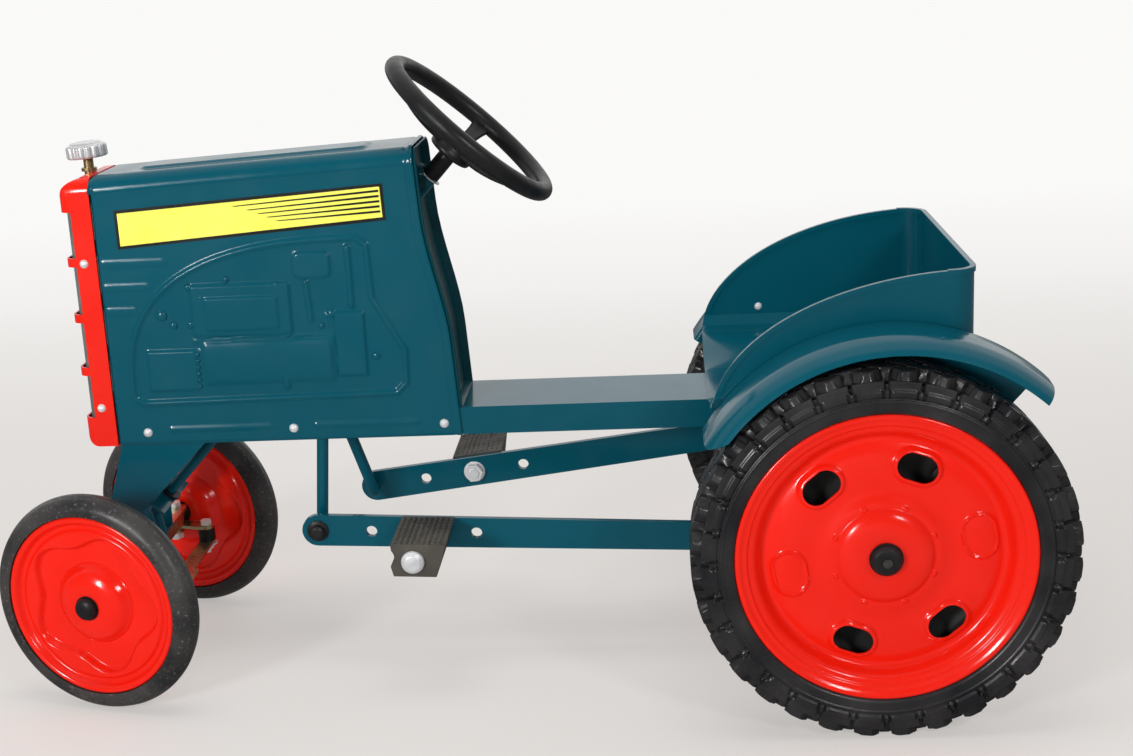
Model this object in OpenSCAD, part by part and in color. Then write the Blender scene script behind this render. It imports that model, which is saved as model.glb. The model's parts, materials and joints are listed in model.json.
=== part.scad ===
// Child's pedal tractor in pressed sheet steel, with a treadle drive on a cranked rear axle.
// The x axis points forwards, y to the driver's left and z up, with the ground at z = 0.
// Every module is drawn from a point below the rear axle, and from_axle() moves it to the origin,
// which lies on the ground in the middle of the tractor's length.

/* [Overall] */
// Distance from the rear axle to the kingpins
wheelbase = 687; // [685:1:690]
// Angle by which the front wheels stand turned to the driver's right
steer = 16; // [0:1:20]
// Thickness of the body's pressed sheet
sheet = 1.6; // [1.4:0.1:2]

/* [Rear wheels] */
// Radius over the tread
rear_tyre_r = 160; // [158:1:162]
// Half the width of the tyre
rear_tyre_half = 29.6; // [28:0.2:30]
// Outer radius of the pressed disc
rear_rim_r = 124.2; // [122:0.2:126]
// Distance from the middle plane to a rear wheel's middle
rear_wheel_y = 199.5; // [198:0.5:202]
// Blocks around each row of the tread
tread_blocks = 40; // [30:2:48]

/* [Front wheels] */
// Radius over the tyre
front_tyre_r = 102; // [100:1:104]
// Outer radius of the pressed disc
front_rim_r = 84.6; // [83:0.2:86]
// Distance from the middle plane to a kingpin
kingpin_y = 100; // [98:1:102]
// Distance from a kingpin out to its wheel's middle
stub_length = 29; // [28:0.5:31]

/* [Bodywork] */
// Width of the hood
hood_w = 96; // [94:1:100]
// Height of the hood's top at the grille
hood_front_z = 475; // [470:1:480]
// Height of the hood's top at the dash
hood_rear_z = 491; // [486:1:496]
// Height of the top of the chassis beam
beam_top = 250.5; // [250:0.1:251]
// Half the width of the seat tub
seat_half = 155; // [150:1:157]
// Height of the top of the seat's back
seat_top = 385; // [375:1:395]

/* [Treadle drive] */
// Throw of the crank
crank_r = 46; // [40:1:46]
// Angle of the left crank pin above the forward direction
crank_angle = -68; // [-75:1:-60]
// Length of a pedal bar between its two pivots
bar_length = 486.5; // [486:0.1:487]
// Length of a hanger between its two pivots
hanger_length = 97; // [96.8:0.1:97.2]

/* [Steering] */
// Outer radius of the steering wheel
steering_r = 95; // [90:1:100]
// Lean of the steering shaft from upright
column_tilt = 42.8; // [42.6:0.1:43]
// Length of a steering arm, from its kingpin to the track rod
arm_length = 36; // [34:1:38]

/* [Hidden] */
$fn = 48;
LEFT = 1;
RIGHT = -1;
fit = 0.05; // radial clearance of a running fit
paint = "#0f5a69";
signal_red = "#e8341f";
black = "#1c1c1e";
zinc = "#b9bcc0";
yellow_zinc = "#b3a062";

// Whole frame
axle_to_origin = 316.8;
beam_w = 92.6;
beam_h = 26;
beam_wall = 2;
beam_rear = -70;
beam_front = wheelbase - 3;
beam_in = beam_w / 2 - beam_wall;

// Hood
hood_z0 = 224;
hood_x1 = wheelbase - 1;
hood_side = hood_w / 2;
hood_corner = 14;
edge_x0 = 364;
edge_step = 13.5;
hood_len = hood_x1 - edge_x0 - edge_step;
hood_slope = atan((hood_rear_z - hood_front_z) / hood_len);
grille_x1 = 716;
grille_window_x = 705;
bar_z = [296, 346, 398];
window_z = [252, 444];
grille_bar_h = 8;
cap_x = 699;

// Steering shaft, which runs from the middle of the steering wheel down to its bend
wheel_x = 345;
wheel_z = 499.5;
bend_s = 484.5;
bush_s = 464;
washer_s = 57.5;
shaft_r = 5;
track_z = 77.5;
track_pad = 6;
track_hole_x = wheelbase - arm_length + track_pad;
foot_s = (track_hole_x - wheel_x) * sin(column_tilt) + (wheel_z - track_z) * cos(column_tilt);
shaft_x_at_track = wheel_x + (wheel_z - track_z) * tan(column_tilt);
crank_arm = (shaft_x_at_track - track_hole_x) * cos(column_tilt);
column_turn = asin(arm_length * sin(steer) / crank_arm);

// Wheels and axles
axle_r = 6;
rear_axle_z = rear_tyre_r;
front_axle_z = front_tyre_r;
stub_r = 5;
kingpin_r = 4;
axle_end_y = 235;
throw_in = 44;
throw_out = 70;
crossbar_z = [98, 112];
knuckle_z = [85.5, 108.5];
arm_z = [92, 95];

// Treadle drive
bar_y = [54, 60];
bar_h = 30;
pedal_hole_r = 5.2;
pedal_holes = [50, 99, 148];
pivot = [495, 236];
hanger_y = 38;
hanger_r = 4;
hanger_leg_r = 5.4;
pedal_y = [61, 136];

// Seat and fenders
seat_back_x = -84;
seat_front_x = 138;
seat_curve_z = 262;
seat_wall = 2;
fender_c = [-12, 158];
fender_in = 156.4;
fender_out = 226;
fender_bolt = [80, 0, 290];
seat_bolt_x = [20, 100];
fender_angles = [32, 132];

// Places of the screws in the hood's skirt and in the grille's flange
hood_screw_x = [380, 520, 657];
hood_screw_z = 236;
grille_screw_z = [261, 397];
screw_r = 1.9;

function smooth(t) = let (c = min(max(t, 0), 1)) c * c * (3 - 2 * c);
function unit(v) = v / norm(v);
function left_of(a, b) = let (d = unit(b - a)) [-d[1], d[0]];

// Normal of a line of points at its point i
function normal_at(p, i) =
    unit(left_of(p[max(i - 1, 0)], p[max(i, 1)]) +
         left_of(p[min(i, len(p) - 2)], p[min(i + 1, len(p) - 1)]));

// Outward shift of a closed line that runs counter-clockwise, at its point i
function outward(p, i) =
    let (n = len(p))
    -unit(left_of(p[(i + n - 1) % n], p[i]) + left_of(p[i], p[(i + 1) % n]));

// Closed outline of a sheet of thickness t on the left of a line of points
function strip(p, t) =
    concat(p, [for (i = [len(p) - 1:-1:0]) p[i] + t * normal_at(p, i)]);

// Rear edge of the hood, an S that leans forwards as it falls
function rear_edge_x(z) = edge_x0 + 0.06 * (z - hood_z0) + edge_step * smooth((z - 310) / 120);

// Top edge of the seat's side, a quarter of an ellipse
function seat_edge(t) = [
    seat_back_x + (seat_front_x - seat_back_x) * sin(t),
    seat_curve_z + (seat_top - seat_curve_z) * cos(t)
];

// Underside of the seat's pan across its width: flat on the beam, dished up to the walls
function pan_z(y) =
    let (a = abs(y), corner = max(a - (seat_half - 12), 0))
    beam_top + 0.2 + 18 * smooth((a - beam_w / 2 - 2) / 96) + corner * corner / 12;

// Crank pins, the lower ends of the hangers and the bars between them, seen from the left
function pin_at(angle) = [crank_r * cos(angle), rear_axle_z + crank_r * sin(angle)];
function bar_foot(pin) =
    let (
        d = pivot - pin,
        reach = norm(d),
        along = (bar_length * bar_length - hanger_length * hanger_length + reach * reach) / (2 * reach),
        drop = sqrt(bar_length * bar_length - along * along)
    )
    pin + along * d / reach + drop * [d[1], -d[0]] / reach;
pin_left = pin_at(crank_angle);
pin_right = pin_at(crank_angle + 180);
function pin_of(s) = s == LEFT ? pin_left : pin_right;
function foot_of(s) = bar_foot(pin_of(s));
function bar_slope(s) = let (d = foot_of(s) - pin_of(s)) atan2(d[1], d[0]);

module from_axle() {
    translate([-axle_to_origin, 0, 0]) children();
}

// Mirrors what is drawn for the left side when s is RIGHT
module side(s) {
    mirror([0, s == RIGHT ? 1 : 0, 0]) children();
}

// A y-z section drawn along +x from x = 0
module along_x(length) {
    rotate([90, 0, 90]) linear_extrude(length) children();
}

// An x-z outline drawn across y, centred on y = 0
module along_y(width) {
    rotate([90, 0, 0]) translate([0, 0, -width / 2]) linear_extrude(width) children();
}

// An x-z outline drawn from y = y0 to y = y1
module between_y(y0, y1) {
    translate([0, (y0 + y1) / 2, 0]) along_y(y1 - y0) children();
}

// Round bar along y
module bar_along_y(r, y0, y1) {
    translate([0, y0, 0]) rotate([-90, 0, 0]) cylinder(r = r, h = y1 - y0);
}

// Revolve of a radius-and-y outline about the y axis
module spun(points) {
    rotate([-90, 0, 0]) rotate_extrude($fn = 96) polygon(points);
}

module slot(length, r) {
    square([length, 2 * r], center = true);
    for (x = [-length / 2, length / 2]) translate([x, 0]) circle(r);
}

// A straight line from a to b drawn with a round pen
module pen_line(a, b, w) {
    d = b - a;
    for (p = [a, b]) translate(p) circle(d = w);
    translate(a) rotate(atan2(d[1], d[0])) translate([0, -w / 2]) square([norm(d), w]);
}

// A closed line of points, counter-clockwise, drawn w wide
module loop_line(p, w) difference() {
    polygon([for (i = [0:len(p) - 1]) p[i] + w / 2 * outward(p, i)]);
    polygon([for (i = [0:len(p) - 1]) p[i] - w / 2 * outward(p, i)]);
}

// Domed screw with its head on a face that looks along +y at y = 0
module side_screw(head_r, shank_r, shank) {
    spun([[0, 2.6], [head_r * 0.5, 2.3], [head_r * 0.85, 1.3], [head_r, 0], [shank_r, 0],
        [shank_r, -shank], [0, -shank]]);
}

// Stands a piece on the steering shaft, s below the middle of the wheel, with +z up the shaft
module on_shaft(s) {
    translate([wheel_x, 0, wheel_z]) rotate([0, -column_tilt, 0]) translate([0, 0, -s]) children();
}

// A front corner: origin below its kingpin, +y out along the steered stub axle
module front_corner(s) {
    translate([wheelbase, s * kingpin_y, 0]) rotate([0, 0, -steer]) side(s) children();
}

module front_wheel_place(s) {
    front_corner(s) translate([0, stub_length, front_axle_z]) children();
}

module rear_wheel_place(s) {
    side(s) translate([0, rear_wheel_y, rear_axle_z]) children();
}

// A treadle's frame: origin on its crank pin and +x along its bar
module on_bar(s) {
    translate([pin_of(s)[0], 0, pin_of(s)[1]]) rotate([0, -bar_slope(s), 0]) side(s) children();
}

module chassis_beam() from_axle() color(paint) difference() {
    translate([beam_rear, -beam_w / 2, beam_top - beam_h]) cube([beam_front - beam_rear, beam_w, beam_h]);
    translate([beam_rear - 1, -beam_in, beam_top - beam_h - 1])
        cube([beam_front - beam_rear + 2, 2 * beam_in, beam_h - beam_wall + 1]);
    translate([wheel_x + (wheel_z - beam_top) * tan(column_tilt), 0, beam_top - 5])
        linear_extrude(10) slot(26, 9);
    for (x = hood_screw_x) translate([x, 0, hood_screw_z]) bar_along_y(screw_r + 0.1, -60, 60);
    translate([pivot[0], 0, pivot[1]]) bar_along_y(3.2, -60, 60);
    for (x = [-14, 14]) translate([x, 0, 237]) bar_along_y(3.1, -60, 60);
    for (x = seat_bolt_x, y = [-28, 28]) translate([x, y, beam_top - 5]) cylinder(r = 3.1, h = 10);
}

// Cheek of the front pedestal, seen from the left
module pedestal_cheek_outline() {
    polygon([[606, 247.8], [683, 247.8], [684, 224], [708, 148], [702, crossbar_z[1]],
        [672, crossbar_z[1]], [672, 156], [606, 223]]);
}

module front_pedestal() from_axle() color(paint) difference() {
    union() {
        for (s = [LEFT, RIGHT]) side(s) between_y(beam_in - 2.1, beam_in - 0.1) pedestal_cheek_outline();
        translate([672, -beam_in + 0.2, crossbar_z[1]]) cube([30, 2 * beam_in - 0.4, 2]);
        on_shaft(bush_s) translate([-9, -beam_in + 0.2, 0]) cube([31, 2 * beam_in - 0.4, 3]);
    }
    on_shaft(bush_s) translate([0, 0, -5]) cylinder(r = 8, h = 12);
    for (y = [-25, 25]) translate([wheelbase, y, 100]) cylinder(r = 3.1, h = 20);
    translate([657, 0, hood_screw_z]) bar_along_y(screw_r + 0.1, -60, 60);
}

module front_axle() from_axle() color(yellow_zinc) difference() {
    union() {
        translate([0, 0, crossbar_z[1] - 3]) linear_extrude(3) {
            translate([wheelbase - 13, -kingpin_y]) square([26, 2 * kingpin_y]);
            for (y = [-kingpin_y, kingpin_y]) translate([wheelbase, y]) scale([1.3, 1]) circle(10);
        }
        for (x = [wheelbase - 13, wheelbase + 10])
            translate([x, -86, crossbar_z[0]]) cube([3, 172, crossbar_z[1] - crossbar_z[0]]);
    }
    for (y = [-kingpin_y, -25, 25, kingpin_y])
        translate([wheelbase, y, 100]) cylinder(r = abs(y) == 25 ? 3.1 : kingpin_r + fit, h = 20);
}

// Hexagon head or nut with its lower face at z = 0
module hex(flats, h) {
    cylinder(d = flats / cos(30), h = h, $fn = 6);
}

module chassis_bolts() from_axle() color(zinc) {
    for (y = [-25, 25]) translate([wheelbase, y, 0]) {
        translate([0, 0, crossbar_z[1] + 2]) hex(10, 4);
        translate([0, 0, 101]) cylinder(r = 3, h = 16);
        translate([0, 0, 104]) hex(10, 5);
    }
    for (s = [LEFT, RIGHT], x = [-14, 14]) side(s) translate([x, 0, 237]) {
        translate([0, beam_w / 2, 0]) rotate([-90, 0, 0]) hex(10, 4);
        bar_along_y(3, beam_in - 8.6, beam_w / 2 + 1);
        translate([0, beam_in - 7.4, 0]) rotate([-90, 0, 0]) hex(10, 5);
    }
}

module kingpins() from_axle() color(zinc) for (y = [-kingpin_y, kingpin_y]) translate([wheelbase, y, 0]) {
    translate([0, 0, crossbar_z[1]]) hex(13, 5.5);
    translate([0, 0, 77]) cylinder(r = kingpin_r, h = crossbar_z[1] - 76);
    translate([0, 0, 78.6]) hex(13, 6.5);
}

// Section of the hood, hanging from the middle of its flat top at y = 0, z = 0
module hood_section(inset) {
    half = hood_side - inset;
    corner = hood_corner - inset;
    translate([0, -inset]) {
        translate([-half, -300]) square([2 * half, 300 - corner]);
        translate([-half + corner, -corner - 1]) square([2 * (half - corner), corner + 1]);
        for (y = [-half + corner, half - corner]) translate([y, -corner]) circle(corner);
    }
}

// The hood's section drawn along its sloping top, from x_from forwards
module hood_tunnel(inset, x_from, x_to) {
    translate([hood_x1, 0, hood_front_z]) rotate([0, hood_slope, 0])
        translate([x_from - hood_x1, 0, 0]) along_x(x_to - x_from) hood_section(inset);
}

// Side outline of the hood, with its rear edge moved forwards by back
module hood_outline(back, low) {
    polygon(concat(
        [[hood_x1, low], [hood_x1, 520]],
        [for (z = [520:-15:250]) [rear_edge_x(z) + back, z]],
        [[rear_edge_x(low) + back, low]]
    ));
}

// Raised line round the pressed picture of the engine
function bead_points() = concat(
    [for (t = [0:9:90]) [449 + 217 * pow(cos(t), 0.77), 276 + 136 * pow(sin(t), 0.77)]],
    [[440, 405], [438, 356], [411, 307], [412, 276], [421, 267], [655, 264], [664, 268]]
);

// Pressed relief on the side of the hood, lower steps first
module engine_relief_low() {
    loop_line(bead_points(), 7);
    translate([513, 327]) square([88, 46]);
    translate([478, 282]) square([116, 38]);
    translate([603, 276]) square([46, 36]);
    translate([474, 374]) square([34, 26]);
    translate([446, 283]) square([28, 62]);
    pen_line([457, 398], [457, 352], 5);
    polygon([[495.5, 371], [500.5, 371], [497.5, 338], [492.5, 338]]);
    for (p = [[632, 345], [497, 308], [479.5, 339], [441, 301]]) translate(p) circle(7);
    for (p = [[652, 352], [637, 374], [622, 396]]) pen_line([680, p[1]], p, 5);
    for (x = [[634, 540], [498, 404]]) pen_line([x[0], 238.5], [x[1], 238.5], 6);
}

module engine_relief_high() {
    loop_line(bead_points(), 3.4);
    translate([523, 332]) square([70, 32]);
    translate([482, 292]) square([108, 18]);
    for (x = [608, 618, 628, 638]) translate([x, 280]) square([4, 28]);
    translate([450, 290]) square([20, 48]);
    for (p = [[632, 345], [497, 308], [479.5, 339], [441, 301]]) translate(p) circle(4);
}

module hood() from_axle() color(paint) {
    difference() {
        intersection() {
            hood_tunnel(0, 340, hood_x1 + 20);
            along_y(hood_w + 4) hood_outline(0, hood_z0);
        }
        hood_tunnel(sheet, 330, hood_x1 + 30);
        for (x = hood_screw_x) translate([x, 0, hood_screw_z]) bar_along_y(screw_r + 0.1, -60, 60);
    }
    for (s = [LEFT, RIGHT]) side(s) {
        between_y(hood_side - 0.2, hood_side + 1) engine_relief_low();
        between_y(hood_side - 0.2, hood_side + 2) engine_relief_high();
    }
    translate([hood_x1, 0, hood_front_z]) rotate([0, hood_slope, 0])
        translate([-141, 0, -0.2]) linear_extrude(3.4) square([190, 60], center = true);
}

module hood_screws() from_axle() color(zinc) for (s = [LEFT, RIGHT], x = hood_screw_x)
    side(s) translate([x, hood_side, hood_screw_z]) side_screw(4.3, screw_r, 8);

// Side outline of the grille: square at the hood, round at its front corners
module grille_outline(inset) {
    x1 = grille_x1 - inset;
    x0 = hood_x1 - 10;
    r_top = 20 - inset;
    r_low = 13 - inset;
    low = hood_z0 + inset;
    top = 500;
    round_z = hood_front_z - 2 - inset - r_top;
    translate([x0, low]) square([x1 - r_low - x0, top - low]);
    translate([x0, low + r_low]) square([x1 - x0, round_z - low - r_low]);
    translate([x1 - r_low, low + r_low]) circle(r_low);
    translate([x1 - r_top, round_z]) circle(r_top);
    translate([x0, low + r_low]) square([x1 - r_top - x0, top - low - r_low]);
}

module grille_top_cut(inset) {
    x1 = grille_x1 - inset;
    r = 20 - inset;
    difference() {
        translate([x1 - r, hood_front_z - 2 - inset - r]) square([r + 1, 60]);
        translate([x1 - r, hood_front_z - 2 - inset - r]) circle(r);
    }
}

// Plan outline of the grille: round at its front corners
module grille_plan(inset, r) {
    half = hood_side - inset;
    x1 = grille_x1 - inset;
    translate([hood_x1 - 10, -half]) square([x1 - r - hood_x1 + 10, 2 * half]);
    translate([hood_x1 - 10, -half + r]) square([x1 - hood_x1 + 10, 2 * (half - r)]);
    for (y = [-half + r, half - r]) translate([x1 - r, y]) circle(r);
}

module grille_solid(inset) {
    intersection() {
        hood_tunnel(inset, hood_x1 - 20, grille_x1 + 20);
        along_y(hood_w + 4) difference() {
            grille_outline(inset);
            grille_top_cut(inset);
        }
        translate([0, 0, 200]) linear_extrude(300) grille_plan(inset, 11 - inset);
    }
}

module grille_shell() from_axle() color(signal_red) difference() {
    grille_solid(0);
    grille_solid(sheet);
    translate([hood_x1 - 60, -60, 200]) cube([60.5, 120, 320]);
    difference() {
        translate([grille_window_x, -60, window_z[0]]) cube([20, 120, window_z[1] - window_z[0]]);
        for (z = bar_z) translate([grille_window_x - 1, -60, z - grille_bar_h / 2])
            cube([30, 120, grille_bar_h]);
    }
    for (z = grille_screw_z) translate([698, 0, z]) bar_along_y(screw_r + 0.1, -60, 60);
    translate([cap_x, 0, 460]) cylinder(r = 4.6, h = 30);
}

module grille_mesh() from_axle() color("#5b6660") difference() {
    intersection() {
        difference() {
            translate([0, 0, window_z[0] - 8]) linear_extrude(window_z[1] - window_z[0] + 16)
                grille_plan(4.6, 7);
            translate([0, 0, window_z[0] - 10]) linear_extrude(window_z[1] - window_z[0] + 20)
                grille_plan(5.8, 6);
        }
        translate([hood_x1 + 13, -50, 200]) cube([30, 100, 280]);
    }
    for (k = [0:3]) {
        low = k == 0 ? window_z[0] : bar_z[k - 1] + grille_bar_h / 2;
        high = k == 3 ? window_z[1] : bar_z[k] - grille_bar_h / 2;
        for (y = [-33:6:33]) translate([hood_x1 + 10, y - 1.6, low + 4]) cube([30, 3.2, high - low - 8]);
    }
}

module grille_screws() from_axle() color(zinc) for (s = [LEFT, RIGHT], z = grille_screw_z)
    side(s) translate([698, hood_side, z]) side_screw(4, screw_r, 4);

module cap_stem() from_axle() color("#a8935a") translate([cap_x, 0, hood_front_z - 2]) {
    cylinder(r = 4.5, h = 20);
    translate([0, 0, -6]) cylinder(r = 4.5, h = 6);
    translate([0, 0, 2.1]) cylinder(r = 7, h = 3);
    translate([0, 0, -9.6]) hex(13, 5);
}

module radiator_cap() from_axle() color("#c9cbcd") translate([cap_x, 0, hood_front_z + 12.5]) difference() {
    union() {
        linear_extrude(12) difference() {
            circle(18.5);
            for (a = [0:22.5:359]) rotate(a) translate([20, 0]) circle(3);
        }
        cylinder(r = 14, h = 14.5);
    }
    translate([0, 0, -1]) cylinder(r = 4.5 + fit, h = 8.5);
}

// Pan of sheet that closes the rear of the hood, standing a little behind its edge
module dash_panel() from_axle() color(paint) difference() {
    intersection() {
        hood_tunnel(sheet + 0.1, 330, 420);
        along_y(hood_w) difference() {
            hood_outline(-3.2, beam_top + 0.2);
            translate([8, 0]) hood_outline(0, beam_top - 10);
        }
    }
    intersection() {
        hood_tunnel(2 * sheet + 0.1, 320, 430);
        along_y(hood_w) hood_outline(-3.2 + sheet, beam_top - 20);
    }
    on_shaft(80) cylinder(r = 7.6, h = 60, center = true);
    on_shaft(washer_s + 1.6) cylinder(r = 11.3, h = 20);
}

module column_tube() from_axle() color(paint) on_shaft(92) difference() {
    cylinder(r = 7.5, h = 92 - washer_s - 1.2);
    translate([0, 0, -1]) cylinder(r = shaft_r + fit, h = 50);
}

module column_washer() from_axle() color(zinc) on_shaft(washer_s + 1.2) difference() {
    cylinder(r = 11, h = 1);
    translate([0, 0, -1]) cylinder(r = shaft_r + fit, h = 5);
}

module lower_bush() from_axle() color(black) on_shaft(bush_s) difference() {
    union() {
        translate([0, 0, -3]) cylinder(r = 8, h = 6);
        translate([0, 0, 3]) cylinder(r = 11, h = 3);
    }
    translate([0, 0, -5]) cylinder(r = shaft_r + fit, h = 20);
}

// Side outline of a spoke, which leaves the hub flat and curves up into the rim
function spoke_line() = [for (t = [0:0.125:1]) [10 + t * (steering_r - 18), -23 + 21 * pow(t, 2.2)]];

module steering_wheel() from_axle() color(black) on_shaft(0) rotate([0, 0, -column_turn]) {
    rotate_extrude($fn = 96) translate([steering_r - 8.5, 0]) circle(8.5);
    for (a = [35, 155, 275]) rotate([0, 0, a]) along_y(15) polygon(strip(spoke_line(), 5.5));
    difference() {
        union() {
            translate([0, 0, -27]) cylinder(r = 18, h = 14);
            translate([0, 0, -13]) cylinder(r1 = 18, r2 = 13, h = 4, $fn = 48);
        }
        translate([0, 0, -28]) cylinder(r = shaft_r + fit, h = 15);
    }
}

module steering_sleeve() from_axle() color(black) on_shaft(washer_s - 0.4) difference() {
    cylinder(r = 8.2, h = washer_s - 27.4);
    translate([0, 0, -1]) cylinder(r = shaft_r + fit, h = 60);
}

// Rod that ends in a hook, which drops through the middle of the track rod
module steering_shaft() from_axle() color(paint) on_shaft(0) rotate([0, 0, -column_turn]) {
    bend = [0, 0, -bend_s];
    run = [-crank_arm, 0, bend_s - foot_s];
    translate(bend) cylinder(r = shaft_r, h = bend_s - 14);
    translate(bend) sphere(r = shaft_r);
    translate(bend) rotate([0, atan2(run[0], run[2]), 0]) cylinder(r = 4.5, h = norm(run) + 9);
}

module knuckle(s) front_corner(s) difference() {
    union() {
        translate([0, 0, knuckle_z[0]]) cylinder(r = 9, h = knuckle_z[1] - knuckle_z[0]);
        translate([0, 0, front_axle_z]) bar_along_y(stub_r, 0, stub_length + 21);
        translate([0, 0, front_axle_z]) bar_along_y(6.4, 0, stub_length - 18.2);
        translate([0, 0, arm_z[0]]) linear_extrude(arm_z[1] - arm_z[0]) {
            translate([-arm_length, -8]) square([arm_length, 16]);
            translate([-arm_length, 0]) circle(8);
        }
    }
    translate([0, 0, 60]) cylinder(r = kingpin_r + fit, h = 60);
    translate([-arm_length, 0, 60]) cylinder(r = 3 + fit, h = 60);
}

module knuckle_left() from_axle() color(yellow_zinc) knuckle(LEFT);
module knuckle_right() from_axle() color(yellow_zinc) knuckle(RIGHT);

// Foot of a steering arm on the ground plane
function arm_foot(s) = [wheelbase - arm_length * cos(steer), s * kingpin_y + arm_length * sin(steer)];

module track_rod() from_axle() color(yellow_zinc) {
    l = arm_foot(LEFT);
    r = arm_foot(RIGHT);
    middle = (l + r) / 2;
    translate([0, 0, track_z - 1.5]) linear_extrude(3) difference() {
        union() {
            pen_line(l, r, 14);
            translate(middle + [track_pad / 2, 0]) square([30, 34], center = true);
        }
        for (p = [l, r]) translate(p) circle(3.1);
        translate(middle + [track_pad - 1, 0]) circle(8.4);
    }
}

module track_rod_bushes() from_axle() color(black) for (s = [LEFT, RIGHT])
    translate([arm_foot(s)[0], arm_foot(s)[1], track_z + 1.5]) difference() {
        cylinder(r = 8.5, h = arm_z[0] - track_z - 1.9);
        translate([0, 0, -1]) cylinder(r = 3 + fit, h = 20);
    }

module track_rod_pins() from_axle() color(zinc) for (s = [LEFT, RIGHT])
    translate([arm_foot(s)[0], arm_foot(s)[1], track_z]) {
        translate([0, 0, -12]) cylinder(r = 3, h = 31.5);
        translate([0, 0, arm_z[1] + 0.2 - track_z]) hex(10, 5);
        translate([0, 0, -8]) hex(10, 5);
        translate([0, 0, -3]) cylinder(r = 10, h = 1.5);
    }

// Five-lobed dish pressed into a front disc
module lobes(r) {
    polygon([for (a = [0:6:359]) (r + 6 * cos(5 * (a - 40))) * [cos(a), sin(a)]]);
}

// One pressed half of a front wheel, its face looking along +y
module front_half() {
    land = 9;
    dish = 4.5;
    spun(strip([[front_rim_r, 8], [front_rim_r, 12], [82, 13.6], [79, 12.5], [75.5, 6.5], [71.5, 6],
        [69, land], [66, land]], sheet));
    spun(strip([[38, dish], [35.5, 6], [31, 12], [24, 15.6], [19, 16.6], [9.3, 16.6]], sheet));
    rotate([-90, 0, 0]) {
        translate([0, 0, land - sheet]) linear_extrude(sheet) difference() {
            circle(67);
            lobes(58);
        }
        translate([0, 0, dish - sheet]) linear_extrude(land - dish + sheet) difference() {
            lobes(59.6);
            lobes(58);
        }
        translate([0, 0, dish - sheet]) linear_extrude(sheet) difference() {
            lobes(58.5);
            circle(37);
        }
    }
}

module front_disc(s) front_wheel_place(s) {
    front_half();
    mirror([0, 1, 0]) front_half();
    difference() {
        bar_along_y(front_rim_r, -9, 9);
        bar_along_y(front_rim_r - sheet, -10, 10);
    }
}

module front_disc_left() from_axle() color(signal_red) front_disc(LEFT);
module front_disc_right() from_axle() color(signal_red) front_disc(RIGHT);

module front_tyre(s) front_wheel_place(s) rotate([-90, 0, 0]) rotate_extrude($fn = 96)
    intersection() {
        translate([front_tyre_r - 14, 0]) circle(14);
        translate([front_rim_r + fit, -20]) square([60, 40]);
    }

module front_tyre_left() from_axle() color(black) front_tyre(LEFT);
module front_tyre_right() from_axle() color(black) front_tyre(RIGHT);

module front_hub(s) front_wheel_place(s) spun([
    [stub_r + fit, -17.6], [11.5, -17.6], [11.5, -16.8], [9.2, -16.8], [9.2, 16.8], [11.5, 16.8],
    [11.5, 17.8], [stub_r + fit, 17.8]
]);

module front_hub_left() from_axle() color(black) front_hub(LEFT);
module front_hub_right() from_axle() color(black) front_hub(RIGHT);

module front_cap(s) front_wheel_place(s) spun([
    [0, 21.2], [stub_r + fit, 21.2], [stub_r + fit, 18.2], [10, 18.2], [10.4, 19.5], [9.4, 22],
    [6.5, 24], [0, 24.6]
]);

module front_cap_left() from_axle() color(black) front_cap(LEFT);
module front_cap_right() from_axle() color(black) front_cap(RIGHT);

// Inverted U below the beam, with two ears bolted inside the channel
module rear_carrier() from_axle() color(paint) {
    web_z = beam_top - beam_h - 3.1;
    difference() {
        union() {
            translate([-22, -98, web_z]) cube([44, 196, 3]);
            for (s = [LEFT, RIGHT]) side(s) {
                between_y(95, 98) {
                    translate([-22, rear_axle_z]) square([44, web_z - rear_axle_z + 1]);
                    translate([0, rear_axle_z]) circle(22);
                }
                translate([-22, beam_in - 2.2, web_z]) cube([44, 2.1, 23]);
            }
        }
        translate([0, 0, rear_axle_z]) bar_along_y(9, -120, 120);
        for (x = [-14, 14]) translate([x, 0, 237]) bar_along_y(3.1, -60, 60);
    }
}

module axle_bushes() from_axle() color(black) for (s = [LEFT, RIGHT])
    side(s) translate([0, 0, rear_axle_z]) spun([
        [axle_r + fit, 90], [13, 90], [13, 94.9], [9, 94.9], [9, 101], [axle_r + fit, 101]
    ]);

// Throw of the crank on one side, bent out of the axle's own rod
module crank_throw(s, angle) rotate([0, -angle, 0]) side(s) {
    for (y = [throw_in, throw_out]) {
        translate([0, y, 0]) rotate([0, 90, 0]) cylinder(r = axle_r, h = crank_r);
        for (x = [0, crank_r]) translate([x, y, 0]) sphere(r = axle_r);
    }
    translate([crank_r, 0, 0]) bar_along_y(axle_r, throw_in, throw_out);
}

module crank_axle() from_axle() color(zinc) translate([0, 0, rear_axle_z]) {
    bar_along_y(axle_r, -throw_in, throw_in);
    for (s = [LEFT, RIGHT]) side(s) {
        bar_along_y(axle_r, throw_out, rear_wheel_y + 27);
        bar_along_y(4, rear_wheel_y + 26, axle_end_y);
    }
    crank_throw(LEFT, crank_angle);
    crank_throw(RIGHT, crank_angle + 180);
}

module axle_washers() from_axle() color(zinc) for (s = [LEFT, RIGHT])
    side(s) translate([0, rear_wheel_y, rear_axle_z])
        spun([[axle_r, -28.9], [12, -28.9], [12, -26.9], [axle_r, -26.9]]);

module rear_caps() from_axle() color(black) for (s = [LEFT, RIGHT])
    side(s) translate([0, rear_wheel_y, rear_axle_z])
        spun([[4, 27.2], [12.8, 27.2], [12.8, 30], [10.5, 32.4], [7, 33.2], [4, 33.2]]);

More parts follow.
